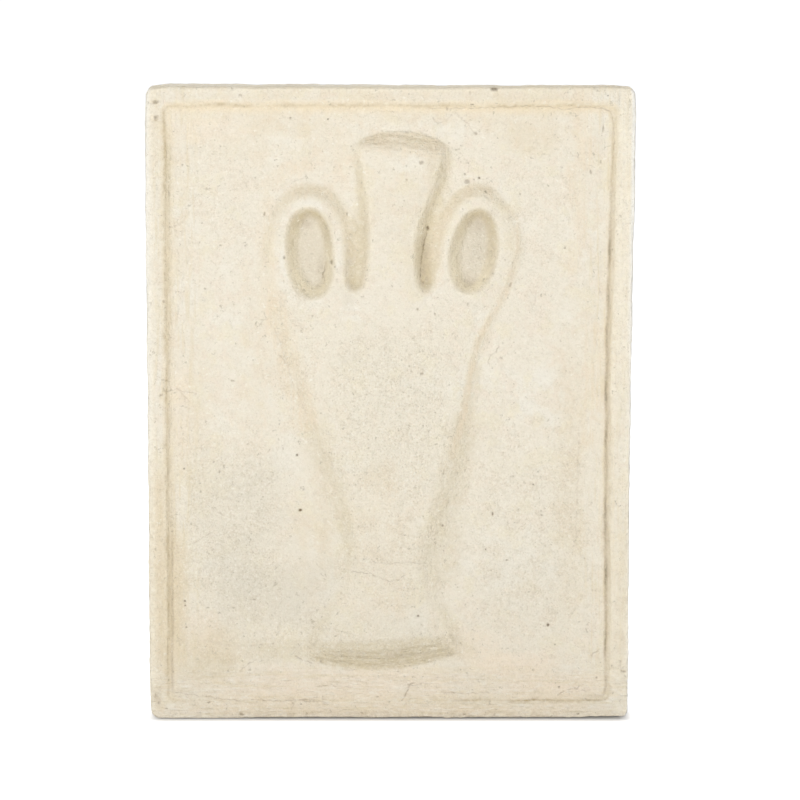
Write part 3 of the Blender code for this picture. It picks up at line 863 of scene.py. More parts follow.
# %% [markdown]
# ## The outline
#
# The mould's frame was knocked together by hand, so no side of the panel is quite straight and the
# top face falls off a little towards its back on the right. The offsets below are millimetres
# outwards from a true rectangle. They fade out within a finger's width of the edge.

# %% Crooked edges
EDGE_FADE = 0.022

# Place along the edge, then how far it stands out, in millimetres
TOP_EDGE = (
    (-286, -1.5), (-276, 1.2), (-262, 2.6), (-200, 2.5), (-165, 1.5), (-140, 2.3), (-100, 1.8),
    (60, 0.9), (100, 1.6), (150, 1.9), (200, 2.6), (262, 2.4), (280, 1.4), (286, -0.5),
)
BOTTOM_EDGE = (
    (-286, 0.2), (-262, 1.2), (-200, 1.2), (-150, 0.2), (0, 0.2), (120, 0.4), (230, -0.2), (286, -1.2),
)
LEFT_EDGE = (
    (-380, 2.4), (-360, 4.6), (-300, 5.2), (-180, 4.6), (-100, 4.3), (40, 4.6), (150, 4.8), (340, 5.0),
    (380, 3.4),
)
RIGHT_EDGE = (
    (-380, 0.0), (-300, 0.3), (-100, 0.3), (60, 1.0), (130, 1.6), (190, 1.9), (250, 3.4), (350, 3.7),
    (380, 2.4),
)
EDGE_WAVES = ((0.060, 0.00030), (0.013, 0.00022))


def edge_shift(stations, place, from_edge):
    """How far a side stands out at each place along it, fading inwards."""
    marks, offsets = np.array(stations).T * MILLIMETRE
    return np.interp(place, marks, offsets) * soft_step(1 - from_edge / EDGE_FADE)


def crooked(x, z):
    """The place that each point of the true rectangle really takes."""
    left = edge_shift(LEFT_EDGE, z, x + HALF_WIDTH)
    right = edge_shift(RIGHT_EDGE, z, HALF_WIDTH - x)
    top = edge_shift(TOP_EDGE, x, HALF_HEIGHT - z)
    bottom = edge_shift(BOTTOM_EDGE, x, z + HALF_HEIGHT)
    close = soft_step(1 - inside_outline(x, z) / EDGE_FADE)
    stray_x = strays(x * LONGWISE, z, EDGE_WAVES, seed=31)
    stray_z = strays(x, z * LONGWISE, EDGE_WAVES, seed=32)
    return x + right - left + close * stray_x, z + top - bottom + close * stray_z


# %% [markdown]
# ## The front as one fine grid
#
# A grid laid over the front is the natural mesh for a relief. Its lines run along the arris, the
# lips of the border and the foot of its wall, so these edges stay clean, and between them the cells
# are under three millimetres. Cells near pits and cracks, on the scraped banks and on the walls of
# the eyes are split again, because a dent needs several vertices across it, and a finer grid
# everywhere would waste most of them.

# %% Grid lines
ARRIS_STEPS = 4
BORDER_STEPS = 5
WALL_STEPS = 5
CREASE_RUN = 0.0032
CREASE_STEPS = 3
FIELD_COLUMNS = 182
FIELD_ROWS = 248


def line_places(half, low_lip, high_lip, field_steps):
    """Places of the grid's lines from one edge of the panel to the other."""
    turn = np.linspace(math.pi / 2, 0, ARRIS_STEPS + 1)[:-1]
    arris = ARRIS_RADIUS * (1 - np.sin(turn))
    marks = (
        ARRIS_RADIUS - half,
        low_lip,
        low_lip + WALL_RUN,
        low_lip + WALL_RUN + CREASE_RUN,
        high_lip - WALL_RUN - CREASE_RUN,
        high_lip - WALL_RUN,
        high_lip,
        half - ARRIS_RADIUS,
    )
    outer = (BORDER_STEPS, WALL_STEPS, CREASE_STEPS)
    steps = outer + (field_steps,) + outer[::-1]
    runs = [np.linspace(*run, endpoint=False) for run in zip(marks, marks[1:], steps)]
    return np.concatenate([arris - half] + runs + [marks[-1:], (half - arris)[::-1]])


def round_corner(x, z):
    """Moves a place of the square-cornered grid in behind the rounded corner nearest to it."""
    radius = float(by_corner(x, z, OUTLINE_ROUNDINGS))
    across = abs(x) - (HALF_WIDTH - radius)
    up = abs(z) - (HALF_HEIGHT - radius)
    if across <= 0 or up <= 0:
        return x, z
    share = max(across, up) / math.hypot(across, up)
    return (
        math.copysign(HALF_WIDTH - radius + across * share, x),
        math.copysign(HALF_HEIGHT - radius + up * share, z),
    )


def lay_grid(bm):
    rows = line_places(HALF_HEIGHT, -HALF_HEIGHT + BORDER_BOTTOM, HALF_HEIGHT - BORDER_TOP, FIELD_ROWS)
    places = [line_places(HALF_WIDTH, LEFT_LIP, float(right_lip(z)), FIELD_COLUMNS) for z in rows]
    columns = len(places[0]) - 1
    bmesh.ops.create_grid(bm, x_segments=columns, y_segments=len(rows) - 1, size=0.5)
    for vertex in bm.verts:
        column = round((vertex.co.x + 0.5) * columns)
        row = round((vertex.co.y + 0.5) * (len(rows) - 1))
        x, z = round_corner(places[row][column], rows[row])
        vertex.co = (x, 0.0, z)
    return columns, len(rows) - 1


panel_bm = bmesh.new()
print("grid of", lay_grid(panel_bm), "cells")

# %% Finer cells near the marks, on the scraped banks and on the eyes' walls
COARSE_REACH = 0.0016
FINE_REACH = 0.0003
FINE_EDGE = 0.0009
RIM_FEEL = 0.002
EYE_WALL_END = 0.65
BANK_SHARE = 0.3


def split_edges(bm, wanted):
    """Splits the edges whose middles are wanted, and tidies the cells around them."""
    edges = [edge for edge in bm.edges if edge.calc_length() > FINE_EDGE]
    middles = np.array([(edge.verts[0].co + edge.verts[1].co) / 2 for edge in edges])
    chosen = wanted(middles[:, 0], middles[:, 2])
    picked = [edge for edge, take in zip(edges, chosen) if take]
    bmesh.ops.subdivide_edges(bm, edges=picked, cuts=1, use_grid_fill=True)
    crowded = [face for face in bm.faces if len(face.verts) > 4]
    bmesh.ops.triangulate(bm, faces=crowded)
    return len(picked)


def around(form, x, z, reach):
    """A form's values a little to the right, left, above and below each place."""
    steps = ((reach, 0), (-reach, 0), (0, reach), (0, -reach))
    return [form(x + right, z + up) for right, up in steps]


def on_eye_walls(x, z):
    sinking = eye_sinking(x, z) / EYE_DEPTH
    return (sum(around(eye_sinking, x, z, RIM_FEEL)) > 0) & (sinking < EYE_WALL_END)


def near_marks_or_banks(x, z):
    banks = np.maximum(lip_bank(x, z), foot_bank(x, z)) > BANK_SHARE
    return (press_marks(x, z)[2] < COARSE_REACH) | banks | on_eye_walls(x, z)


def close_to_marks(x, z):
    return press_marks(x, z)[2] < FINE_REACH


print("split", split_edges(panel_bm, near_marks_or_banks), "edges once")
print("split", split_edges(panel_bm, close_to_marks), "edges again")

# %% Press the relief into the grid
def press_relief(bm):
    x = np.array([vertex.co.x for vertex in bm.verts])
    z = np.array([vertex.co.z for vertex in bm.verts])
    depth = finished_depth(x, z)
    new_x, new_z = crooked(x, z)
    for vertex, place in zip(bm.verts, zip(new_x, -depth, new_z)):
        vertex.co = place
    return depth


depths = press_relief(panel_bm)
print(f"thickness from {depths.min() * 1000:.1f} to {depths.max() * 1000:.1f} mm")

# %% [markdown]
# ## Sides and back
#
# The sides are as the mould's frame left them: nearly flat, with a little waviness. They are the
# front's rim, extruded back in rings, so that each ring can be moved a little. The back is the flat
# open face of the mould, struck off level. It lies against the wall, so it is plainer, and its
# corner with the sides is only slightly rounded.

# %% Sides in rings, and the back
SIDE_RINGS = (0.032, 0.024, 0.016, 0.008, 0.0022)
BACK_ROUNDING = 0.0016
BACK_RINGS = ((0.0006, 0.0005), (0.0, BACK_ROUNDING), (0.0, 0.0060))  # from the back, and inwards
SIDE_WAVES = (0.030, 0.00030)
SIDE_WAVE_STRETCH = 2.5
TOP_FALL = 0.0016
TOP_FALL_RUN = 0.2
CORNER_MARGIN = 0.010


def outward(x, z):
    """Which way the nearest side of the panel faces."""
    across = max(abs(x) - HALF_WIDTH + CORNER_MARGIN, 0.0)
    up = max(abs(z) - HALF_HEIGHT + CORNER_MARGIN, 0.0)
    return Vector((math.copysign(across, x), 0.0, math.copysign(up, z))).normalized()


def next_ring(bm, rim, place):
    """Extrudes a rim and puts each new vertex where place says, from its old position."""
    made = bmesh.ops.extrude_edge_only(bm, edges=rim)["geom"]
    for vertex in (item for item in made if isinstance(item, bmesh.types.BMVert)):
        vertex.co = place(vertex.co)
    return [item for item in made if isinstance(item, bmesh.types.BMEdge) and item.is_boundary]


def side_place(depth):
    def place(old):
        away = outward(old.x, old.z)
        spot = np.array([old.x + old.z]), np.array([depth * SIDE_WAVE_STRETCH])
        wave = SIDE_WAVES[1] * float(hand_waves(*spot, SIDE_WAVES[0], seed=41)[0])
        fall = TOP_FALL / len(SIDE_RINGS) * max(away.z, 0.0) * float(soft_step(old.x / TOP_FALL_RUN))
        return Vector((old.x, -depth, old.z - fall)) + away * wave / len(SIDE_RINGS)

    return place


def back_place(depth, inwards, before):
    def place(old):
        return Vector((old.x, -depth, old.z)) - outward(old.x, old.z) * (inwards - before)

    return place


def close_panel(bm):
    rim = [edge for edge in bm.edges if edge.is_boundary]
    for depth in SIDE_RINGS:
        rim = next_ring(bm, rim, side_place(depth))
    before = 0.0
    for depth, inwards in BACK_RINGS:
        rim = next_ring(bm, rim, back_place(depth, inwards, before))
        before = inwards
    back = bmesh.ops.contextual_create(bm, geom=rim)["faces"]
    bmesh.ops.triangulate(bm, faces=back)
    bmesh.ops.recalc_face_normals(bm, faces=bm.faces)


close_panel(panel_bm)
panel_mesh = bpy.data.meshes.new("plaster_relief")
panel_bm.to_mesh(panel_mesh)
panel_bm.free()
panel_mesh.shade_smooth()
panel_mesh.calc_loop_triangles()
plaster_relief = bpy.data.objects.new("plaster_relief", panel_mesh)
bpy.context.scene.collection.objects.link(plaster_relief)
print(f"plaster_relief has {len(panel_mesh.loop_triangles)} triangles")

# %% [markdown]
# ## Where the stains lie
#
# Old plaster yellows where size and dust gather, which is on slopes, greys where it was handled or damp,
# and stays pale on the edges that are rubbed. Its corners and sunk places are made darker and yellower.
# Some masks are painted light and shade: a painted highlight on the arris, painted shade over the eyes
# and on their upper walls, painted light on their lower walls, and painted shade along the lowest edge.
# The computer can work out the slopes, corners and edges from the height itself. The clouds that no
# rule explains are soft patches, placed one by one. Each is written to the mesh as an attribute that
# the material reads.

# %% Masks from the form
FEEL = 0.0028
STEEP = 0.70
TURN = 0.20
SUNK_REACH = 0.013
SUNK_DEPTH = 0.0050
SUNK_LOOKS = 10
SUNK_FADE = (0.15, 0.7)


def form_masks(x, z):
    """How steep the cast form is at each place, how hollow, and how proud."""
    here = cast_depth(x, z)
    right, left, up, down = around(cast_depth, x, z, FEEL)
    steep = np.hypot(right - left, up - down) / (2 * FEEL)
    bend = ((right + left + up + down) / 4 - here) / FEEL
    return np.clip(steep / STEEP, 0, 1), np.clip(bend / TURN, 0, 1), np.clip(-bend / TURN, 0, 1)


def sunk_mask(x, z):
    """How far each place of the vase lies below what is a finger's width round it."""
    here = vase_rise(x, z)
    above = np.zeros_like(x)
    for turn in np.linspace(0, 2 * math.pi, SUNK_LOOKS, endpoint=False):
        across = x + SUNK_REACH * math.cos(turn)
        up = z + SUNK_REACH * math.sin(turn)
        above += np.maximum(vase_rise(across, up) - here, 0.0)
    return fade(above / SUNK_LOOKS / SUNK_DEPTH, *SUNK_FADE)


on_left_wall = middle + LEFT_LIP + WALL_RUN / 2
print(f"slope mask on the left wall {form_masks(on_left_wall, middle)[0][0]:.2f}")

# %% Dirt lines, washes and rubbed edges
LINE_PLACE = 0.0012
LINE_HALF_WIDTHS = (0.0034, 0.0030, 0.0036, 0.0020)  # left, right, top, bottom
LINE_STRENGTHS = (0.62, 0.05, 0.50, 0.20)
BOTTOM_RIGHT_LINE = 0.8
LINE_RIGHT_FADE = (0.02, 0.12)
LINE_WAVES = 0.060
# The outline's line is darker along the lowest edge, as painted shade.
LOWEST_EDGE = -0.376
LOWEST_EDGE_RUN = 0.003
EDGE_LINE = 0.0035
EDGE_LINE_SHARES = (0.03, 0.05)  # everywhere, and what the bottom edge has besides
WASH_STRENGTHS = (0.45, 0.25, 0.85, 0.20)
WASH_OUTER_FADE = (-0.006, 0.005)
WASH_INNER_FADE = (0.015, -0.011)
RUBBED_REACH = 0.0075
RIGHT_LIP_RUN = 0.003
RIGHT_RUBBED = (0.50, 0.75)  # everywhere, and what the upper part has besides
RIGHT_RUBBED_FADE = (-0.05, 0.25)
# Strengths of the painted highlight on the arris.
ARRIS_LOW_LEFT = 0.12
ARRIS_HIGH_LEFT = 0.50
ARRIS_LEFT_FADE = (-0.15, 0.2)
ARRIS_RIGHT = 0.9
ARRIS_BOTTOM = 0.4


def line_mask(x, z):
    """The thin line of dirt at the brow of the border's wall, and the one round the outline, darker
    along the lowest edge as painted shade.
    """
    from_line = abs(inside_border(x, z) - LINE_PLACE)
    brow = np.clip(1 - from_line / by_side(x, z, LINE_HALF_WIDTHS), 0.0, 1.0)
    patchy = np.clip(0.78 + 0.25 * hand_waves(x, z, LINE_WAVES, seed=52), 0.0, 1.0)
    bottom_right = fade(x, *LINE_RIGHT_FADE) * by_side(x, z, (0, 0, 0, BOTTOM_RIGHT_LINE))
    brow = brow * patchy * (by_side(x, z, LINE_STRENGTHS) + bottom_right)
    low = np.clip((LOWEST_EDGE - z) / LOWEST_EDGE_RUN, 0.0, 1.0)
    everywhere, more_below = EDGE_LINE_SHARES
    edge = np.clip(1 - inside_outline(x, z) / EDGE_LINE, 0.0, 1.0) * (everywhere + more_below * low)
    return np.maximum(brow, edge)


def wall_wash(x, z):
    """The yellowing round the brow of the border's wall and down its slope, strongest at the top."""
    inside = inside_border(x, z)
    band = fade(inside, *WASH_OUTER_FADE) * fade(inside, *WASH_INNER_FADE)
    return band * by_side(x, z, WASH_STRENGTHS)


def near_upright(x, z):
    """Whether the left or right edge is nearer than the top or bottom one, by the panel's shares."""
    return abs(x) / PANEL_WIDTH > abs(z) / PANEL_HEIGHT


def rubbed_mask(x, z):
    """The pale upright arrises, which hands touch, and the right border, paler towards its top."""
    arris = np.clip(1 - inside_outline(x, z) / RUBBED_REACH, 0.0, 1.0) * near_upright(x, z)
    everywhere, more_above = RIGHT_RUBBED
    strength = everywhere + more_above * fade(z, *RIGHT_RUBBED_FADE)
    return np.maximum(arris, fade(x, right_lip(z), RIGHT_LIP_RUN) * strength)


def arris_painted_highlight(x, z):
    """A painted highlight on the arris, strongest on the right and nearly gone low on the left."""
    left = ARRIS_LOW_LEFT + (ARRIS_HIGH_LEFT - ARRIS_LOW_LEFT) * fade(z, *ARRIS_LEFT_FADE)
    upright = np.where(x < 0, left, ARRIS_RIGHT)
    strength = np.where(near_upright(x, z), upright, np.where(z < 0, ARRIS_BOTTOM, 0.0))
    return strength * np.clip(1 - inside_outline(x, z) / ARRIS_RADIUS, 0, 1)


at_top_lip = middle + HALF_HEIGHT - BORDER_TOP - LINE_PLACE
print(f"dirt line in the middle of the top {line_mask(middle, at_top_lip)[0]:.2f}")

# %% Stains on handles and eyes, and painted light and shade on the eyes' walls
STAIN_PLACE = 0.45
STAIN_HALF_WIDTH = 0.40
STAIN_FADE = (74, 6)
STAIN_BRINK = 1.4
# How far the painted shade at the top of the eyes' walls gives way to painted light below.
EYE_SHADE_RUN = 14


def handle_stain(x, z):
    """The tan band that follows the outer bank of both arches."""
    across, height = in_vase(x, z)
    total = np.zeros_like(x)
    upper = fade(height, *STAIN_FADE)
    for handle in HANDLES:
        from_band = abs(handle_place(across, height, handle) - STAIN_PLACE) / STAIN_HALF_WIDTH
        outer_side = soft_step(handle["outward"] * (across - handle["centre"][0]) / handle["edge"][0])
        band = np.clip(STAIN_BRINK - from_band, 0.0, 1.0) * upper
        total = np.maximum(total, band * (1 - 0.5 * outer_side))
    return total


def eye_walls_tan_and_light(x, z):
    """The walls of the eyes, tan towards their tops, stronger there as painted shade, and paler towards
    their bottoms as painted light.
    """
    across, height = in_vase(x, z)
    tan = np.zeros_like(x)
    pale = np.zeros_like(x)
    for eye in EYES:
        share = eye_form(across, height, eye) / eye["depth"]
        wall = 4 * share * (1 - share)
        upward = soft_step(0.5 + (height - eye["centre"][1]) / EYE_SHADE_RUN)
        tan = np.maximum(tan, wall * upward)
        pale = np.maximum(pale, wall * (1 - upward))
    return tan, pale


print("stains for", len(HANDLES), "handles and", len(EYES), "eyes")

# %% Soft patches and bands
PATCH_BRINK = 1.4  # where a patch ends, in its half widths
BAND_BRINK = 1.5

# Across, up, half width and half height in millimetres, then strength
GREY_PATCHES = (
    (-182, -130, 70, 85, 0.38),
    (-35, 66, 46, 26, 0.28),
    (0, 215, 30, 50, 0.20),
    (105, -40, 28, 70, 0.20),
    (-150, -235, 85, 55, 0.48),
    (-97, 185, 12, 40, 0.55),
    (103, 185, 14, 40, 0.60),
    (170, -240, 80, 60, 0.15),
    (0, -268, 58, 20, 0.20),
)
WARM_PATCHES = (
    (0, 350, 250, 16, 0.40),
    (-130, 338, 60, 24, 0.45),
    (150, 342, 60, 20, 0.35),
    (-250, 220, 16, 90, 0.30),
    (-280, 330, 10, 40, 0.40),
    (-170, 312, 60, 20, 0.30),
    (-250, -190, 12, 60, 0.30),
    (-280, 150, 10, 60, 0.35),
    (-280, -350, 10, 26, 0.50),
    (0, 371, 300, 10, 0.40),
    (5, 245, 50, 70, 0.25),
    (-262, 230, 16, 120, 0.35),
    (-268, -240, 26, 110, 0.80),
    (215, -90, 24, 220, 0.34),
    (-230, -325, 50, 20, 0.40),
    (-5, -160, 42, 56, 0.10),
    (262, 60, 20, 260, 0.25),
    (170, 325, 50, 25, 0.50),
    (-280, -140, 12, 75, 0.75),
    (-235, -20, 30, 110, 0.30),
    (180, 360, 60, 22, 0.45),
    (278, -250, 14, 120, 0.45),
    (-12, -88, 24, 30, 0.30),
    (-92, -170, 26, 60, 0.35),
    (-215, -295, 42, 30, 0.55),
    (-160, 60, 30, 120, 0.25),
    (35, 190, 30, 60, 0.35),
    (-70, 330, 100, 60, 0.28),
    (0, -375, 300, 16, 0.45),
)
TAN_PATCHES = (
    (36, 178, 10, 26, 0.30),
    (48, 196, 8, 36, 0.34),
    (-76, 214, 9, 18, 0.40),
    (-44, 190, 12, 40, 0.65),
    (55, 236, 10, 24, 0.30),
    (-95, 258, 26, 7, 0.30),
    (-135, -298, 50, 14, 0.30),
    (78, -296, 26, 14, 0.34),
    (-215, -318, 34, 14, 0.34),
    (-264, 289, 4, 46, 0.45),
)
SMUDGES = (
    (41, 172, 6, 34, 0.65),
    (-84, 163, 4, 16, 0.45),
    (-103, 222, 14, 10, 0.45),
    (104, 222, 18, 14, 0.45),
    (118, 185, 6, 40, 0.35),
    (90, 150, 12, 10, 0.40),
    (-50, 160, 8, 40, 0.30),
    (-283, -356, 5, 14, 0.40),
    (0, -378, 300, 6, 0.40),
    (-5, -303, 60, 4, 0.22),
)
COARSE_PATCHES = (
    (-5, -15, 80, 125, 0.85),
    (-190, -160, 75, 140, 0.65),
    (170, -160, 90, 160, 0.55),
    (-190, 250, 75, 90, 0.35),
    (180, 230, 70, 90, 0.30),
    (0, -180, 80, 80, 0.60),
    (100, 195, 14, 34, 0.45),
    (-60, -282, 200, 34, 0.50),
    (-112, 60, 34, 110, 0.55),
)
ROSE_PATCHES = (
    (150, -316, 60, 20, 0.60),
    (100, -292, 50, 24, 0.45),
    (-225, -270, 30, 24, 0.45),
    (-215, 330, 50, 18, 0.40),
    (-250, 0, 14, 70, 0.40),
    (-60, -345, 190, 30, 0.60),
    (190, -345, 80, 24, 0.60),
    (0, -374, 280, 12, 0.60),
    (98, 190, 10, 26, 0.50),
)

# Half width and strength, then places across and up, all in millimetres
PEACH_BANDS = (
    (11.0, 0.42, ((-147, 240), (-146, 169), (-144, 139), (-133, 109))),
    (15.0, 0.75, ((-140, 125), (-124, 65), (-113, 20), (-104, -15))),
    (8.0, 0.45, ((-150, 262), (-128, 282), (-100, 287))),
    (4.0, 0.50, ((148, 215), (149, 170), (136, 133), (118, 105))),
    (4.0, 0.70, ((118, 105), (103, 77), (93, 30), (86, -11), (74, -60))),
    (10.0, 0.30, ((-62, 335), (-58, 280), (-66, 250))),
    (9.0, 0.60, ((217, 283), (225, 223), (216, 167))),
    (10.0, 0.45, ((226, 375), (228, 320), (230, 290))),
    (12.0, 0.45, ((243, 90), (240, 20), (236, -40))),
    (30.0, 0.26, ((-8, -110), (-5, -160), (-8, -235))),
)
TAN_BANDS = (
    (20.0, 0.16, ((-96, -20), (-80, -75), (-70, -115), (-64, -165), (-62, -195))),
    (20.0, 0.24, ((90, -25), (76, -80), (68, -125), (64, -175), (62, -200))),
    (12.0, 0.30, ((54, 305), (60, 262), (44, 225))),
    (4.0, 0.30, ((118, 105), (103, 77), (93, 30), (86, -11), (74, -60))),
)


def patches(x, z, places):
    total = np.zeros_like(x)
    for across, up, half_width, half_height, strength in places:
        u = (x - across * MILLIMETRE) / (half_width * MILLIMETRE)
        v = (z - up * MILLIMETRE) / (half_height * MILLIMETRE)
        radius = (abs(u) ** 3 + abs(v) ** 3) ** (1 / 3)
        total = np.maximum(total, strength * soft_step(PATCH_BRINK - radius))
    return total


def bands(x, z, lines):
    total = np.zeros_like(x)
    for half_width, strength, places in lines:
        away = line_distance(x, z, places) / (half_width * MILLIMETRE)
        total = np.maximum(total, strength * soft_step(BAND_BRINK - away))
    return total


print(len(GREY_PATCHES + WARM_PATCHES + TAN_PATCHES + ROSE_PATCHES), "patches of colour")

# %% Paint the masks
FRONT_FADE = (-0.028, -0.004)  # along the depth, from back to front
ARRIS_FADE = (-0.0375, -ARRIS_RADIUS)
BEHIND_FADE = (-0.004, 0.004)
SIDE_FADE = (0.215, 0.03)
BOTTOM_FADE = (-0.305, -0.03)
GROOVE_DIRT = 0.72
FOOT_TAN = 0.56
HANDLE_TAN = 0.32
HANDLE_PEACH = 0.45
LIP_TAN = 0.05
LIP_PEACH = 0.60


def front_masks(x, z):
    """Each mask of the cast front, by its name."""
    slope, hollow, proud = form_masks(x, z)
    groove = GROOVE_DIRT * (groove_shape(x, z) * groove_strength(x, z))
    lip, foot, arches = lip_bank(x, z), foot_bank(x, z), handle_stain(x, z)
    tan = FOOT_TAN * foot, LIP_TAN * lip, HANDLE_TAN * arches, bands(x, z, TAN_BANDS)
    peach = HANDLE_PEACH * arches, LIP_PEACH * lip, bands(x, z, PEACH_BANDS)
    eye_tan_and_shade, eye_painted_light = eye_walls_tan_and_light(x, z)
    return {
        "slope": slope,
        "hollow": hollow,
        "sunk": sunk_mask(x, z),
        "proud": np.maximum(proud, rubbed_mask(x, z)),
        "dirt": np.maximum(press_marks(x, z)[1], groove),
        "grey": patches(x, z, GREY_PATCHES),
        "warm": patches(x, z, WARM_PATCHES),
        "tan": np.maximum.reduce([patches(x, z, TAN_PATCHES), *tan]),
        "yellowed": wall_wash(x, z),
        "peach": np.maximum.reduce(peach),
        "rose": patches(x, z, ROSE_PATCHES),
        "eye": eye_sinking(x, z) / EYE_DEPTH,
        "eye_tan_and_shade": eye_tan_and_shade,
        "eye_painted_light": eye_painted_light,
        "smudge": patches(x, z, SMUDGES),
        "line": line_mask(x, z),
        "scraped": np.maximum(lip, foot),
    }


def paint_masks(mesh):
    place = np.zeros(len(mesh.vertices) * 3)
    mesh.vertices.foreach_get("co", place)
    x, y, z = place.reshape(-1, 3).T
    front = fade(y, *FRONT_FADE)
    masks = {name: mask * front for name, mask in front_masks(x, z).items()}
    scraped = masks.pop("scraped")
    sides = fade(abs(x), *SIDE_FADE) * front
    bottom = fade(z, *BOTTOM_FADE) * front
    # The arris mask is a painted highlight on the arris.
    masks["arris"] = arris_painted_highlight(x, z) * fade(y, *ARRIS_FADE)
    masks["coarse"] = patches(x, z, COARSE_PATCHES) * front + 0.5 * (1 - front)
    masks["brushed_up"] = np.maximum(sides * (1 - bottom), 0.5 * masks["slope"])
    masks["brushed_across"] = np.maximum(bottom, 0.5 * scraped)
    masks["behind"] = fade(y, *BEHIND_FADE)
    for name, mask in masks.items():
        layer = mesh.attributes.new(name, "FLOAT", "POINT")
        layer.data.foreach_set("value", np.clip(mask, 0.0, 1.0).astype(np.float32))


paint_masks(panel_mesh)
print("masks:", [mask.name for mask in panel_mesh.attributes if mask.data_type == "FLOAT"])

# %% [markdown]
# ## Cream plaster
#
# Plaster is matt and nearly white, so its life is in small differences: clouds of cream and grey,
# grain finer than a millimetre, brush marks, and specks of dirt. Each is a procedural pattern in
# object space, mixed over the base colour by its mask. The same patterns raise the bump a little,
# so that the colour and the surface belong together.

# %% Colours
def from_screen(red, green, blue):
    """A colour as a screen shows it, turned into light."""
    values = [value / 255 for value in (red, green, blue)]
    linear = [v / 12.92 if v <= 0.04045 else ((v + 0.055) / 1.055) ** 2.4 for v in values]
    return (*linear, 1.0)


CREAM = from_screen(239, 231, 214)
PALE_CREAM = from_screen(244, 239, 226)
ROSE_CREAM = from_screen(239, 227, 209)
STRAW_CREAM = from_screen(238, 229, 203)
RUBBED_CREAM = from_screen(250, 241, 220)
# Painted highlight for the arris.
PAINTED_RIM_HIGHLIGHT = from_screen(253, 251, 244)
WARM_CREAM = from_screen(231, 216, 188)
PINK_CREAM = from_screen(245, 230, 209)
# Paler grain, partly painted highlight on the fine relief.
PALE_GRAIN_AND_HIGHLIGHT = from_screen(252, 247, 234)
GREY_PLASTER = from_screen(226, 218, 200)
TAN_WASH = from_screen(230, 216, 184)
YELLOW_WASH = from_screen(244, 228, 199)
# Painted light for the lower walls of the eyes.
EYE_PAINTED_LIGHT_CREAM = from_screen(235, 223, 195)
PEACH = from_screen(238, 222, 196)
SLOT_TAN = from_screen(214, 200, 168)
# Painted shade for the hollows of the eyes.
EYE_PAINTED_SHADE = from_screen(225, 215, 195)
CORNER_OCHRE = from_screen(205, 190, 156)
# Darker grain, partly painted shade on the fine relief.
DARK_GRAIN_AND_SHADE = from_screen(198, 187, 162)
SPECK = from_screen(168, 157, 133)
LINE_BROWN = from_screen(174, 150, 102)
CRACK_BROWN = from_screen(128, 97, 56)
BROWN_DIRT = from_screen(106, 88, 58)
print("cream as light", [round(value, 3) for value in CREAM[:3]])


# %% Node helpers
class NodeBench:
    """A material's node tree, with short ways to add what the plaster needs."""

    def __init__(self, tree):
        self.tree = tree
        self.place = self.add("ShaderNodeTexCoord").outputs["Object"]

    def add(self, kind, **settings):
        node = self.tree.nodes.new(kind)
        for name, value in settings.items():
            setattr(node, name, value)
        return node

    def join(self, value, socket):
        if isinstance(value, bpy.types.NodeSocket):
            self.tree.links.new(value, socket)
        else:
            socket.default_value = value

    def mask(self, name):
        return self.add("ShaderNodeAttribute", attribute_name=name).outputs["Fac"]

    def sums(self, operation, first, second=0.0):
        node = self.add("ShaderNodeMath", operation=operation)
        for socket, value in zip(node.inputs, (first, second)):
            self.join(value, socket)
        return node.outputs["Value"]

    def times(self, first, second):
        return self.sums("MULTIPLY", first, second)

    def plus(self, first, second):
        return self.sums("ADD", first, second)

    def ramp(self, value, low, high, to_low=0.0, to_high=1.0):
        node = self.add("ShaderNodeMapRange", interpolation_type="SMOOTHSTEP")
        names = ("Value", "From Min", "From Max", "To Min", "To Max")
        for name, setting in zip(names, (value, low, high, to_low, to_high)):
            self.join(setting, node.inputs[name])
        return node.outputs["Result"]

    def stretched(self, stretch):
        node = self.add("ShaderNodeMapping")
        self.join(self.place, node.inputs["Vector"])
        node.inputs["Scale"].default_value = stretch
        return node.outputs["Vector"]

    def noise(self, size, detail=3.0, roughness=0.55, stretch=None):
        """Cloudy noise whose lumps are about size metres across."""
        node = self.add("ShaderNodeTexNoise", noise_dimensions="3D")
        self.join(self.stretched(stretch) if stretch else self.place, node.inputs["Vector"])
        node.inputs["Scale"].default_value = 1.0 / size
        node.inputs["Detail"].default_value = detail
        node.inputs["Roughness"].default_value = roughness
        return node.outputs["Fac"]

    def specks(self, spacing, radius, share):
        """Separate dots: about one cell in so many has one."""
        node = self.add("ShaderNodeTexVoronoi", feature="F1")
        self.join(self.place, node.inputs["Vector"])
        node.inputs["Scale"].default_value = 1.0 / spacing
        chance = self.add("ShaderNodeSeparateColor")
        self.join(node.outputs["Color"], chance.inputs["Color"])
        size = self.times(chance.outputs["Green"], radius / spacing)
        dot = self.ramp(node.outputs["Distance"], size, self.times(size, 0.35))
        return self.times(dot, self.sums("LESS_THAN", chance.outputs["Red"], share))

    def torn(self, mask, noise, strength):
        """A soft mask whose edges and middle are broken up by the noise."""
        broken = self.plus(mask, self.times(self.plus(noise, -0.5), strength))
        return self.ramp(broken, 0.02, 0.98)

    def worn(self, mask, noise, *ranges):
        """A mask, by its name or its socket, times the noise brought into the ranges."""
        mask = self.mask(mask) if isinstance(mask, str) else mask
        return self.times(mask, self.ramp(noise, *ranges))

    def over(self, base, colour, mask):
        node = self.add("ShaderNodeMix", data_type="RGBA")
        self.join(mask, node.inputs["Factor"])
        self.join(base, node.inputs[6])
        self.join(colour, node.inputs[7])
        return node.outputs[2]


# %% The plaster material
BUMP_DISTANCE = 0.0016


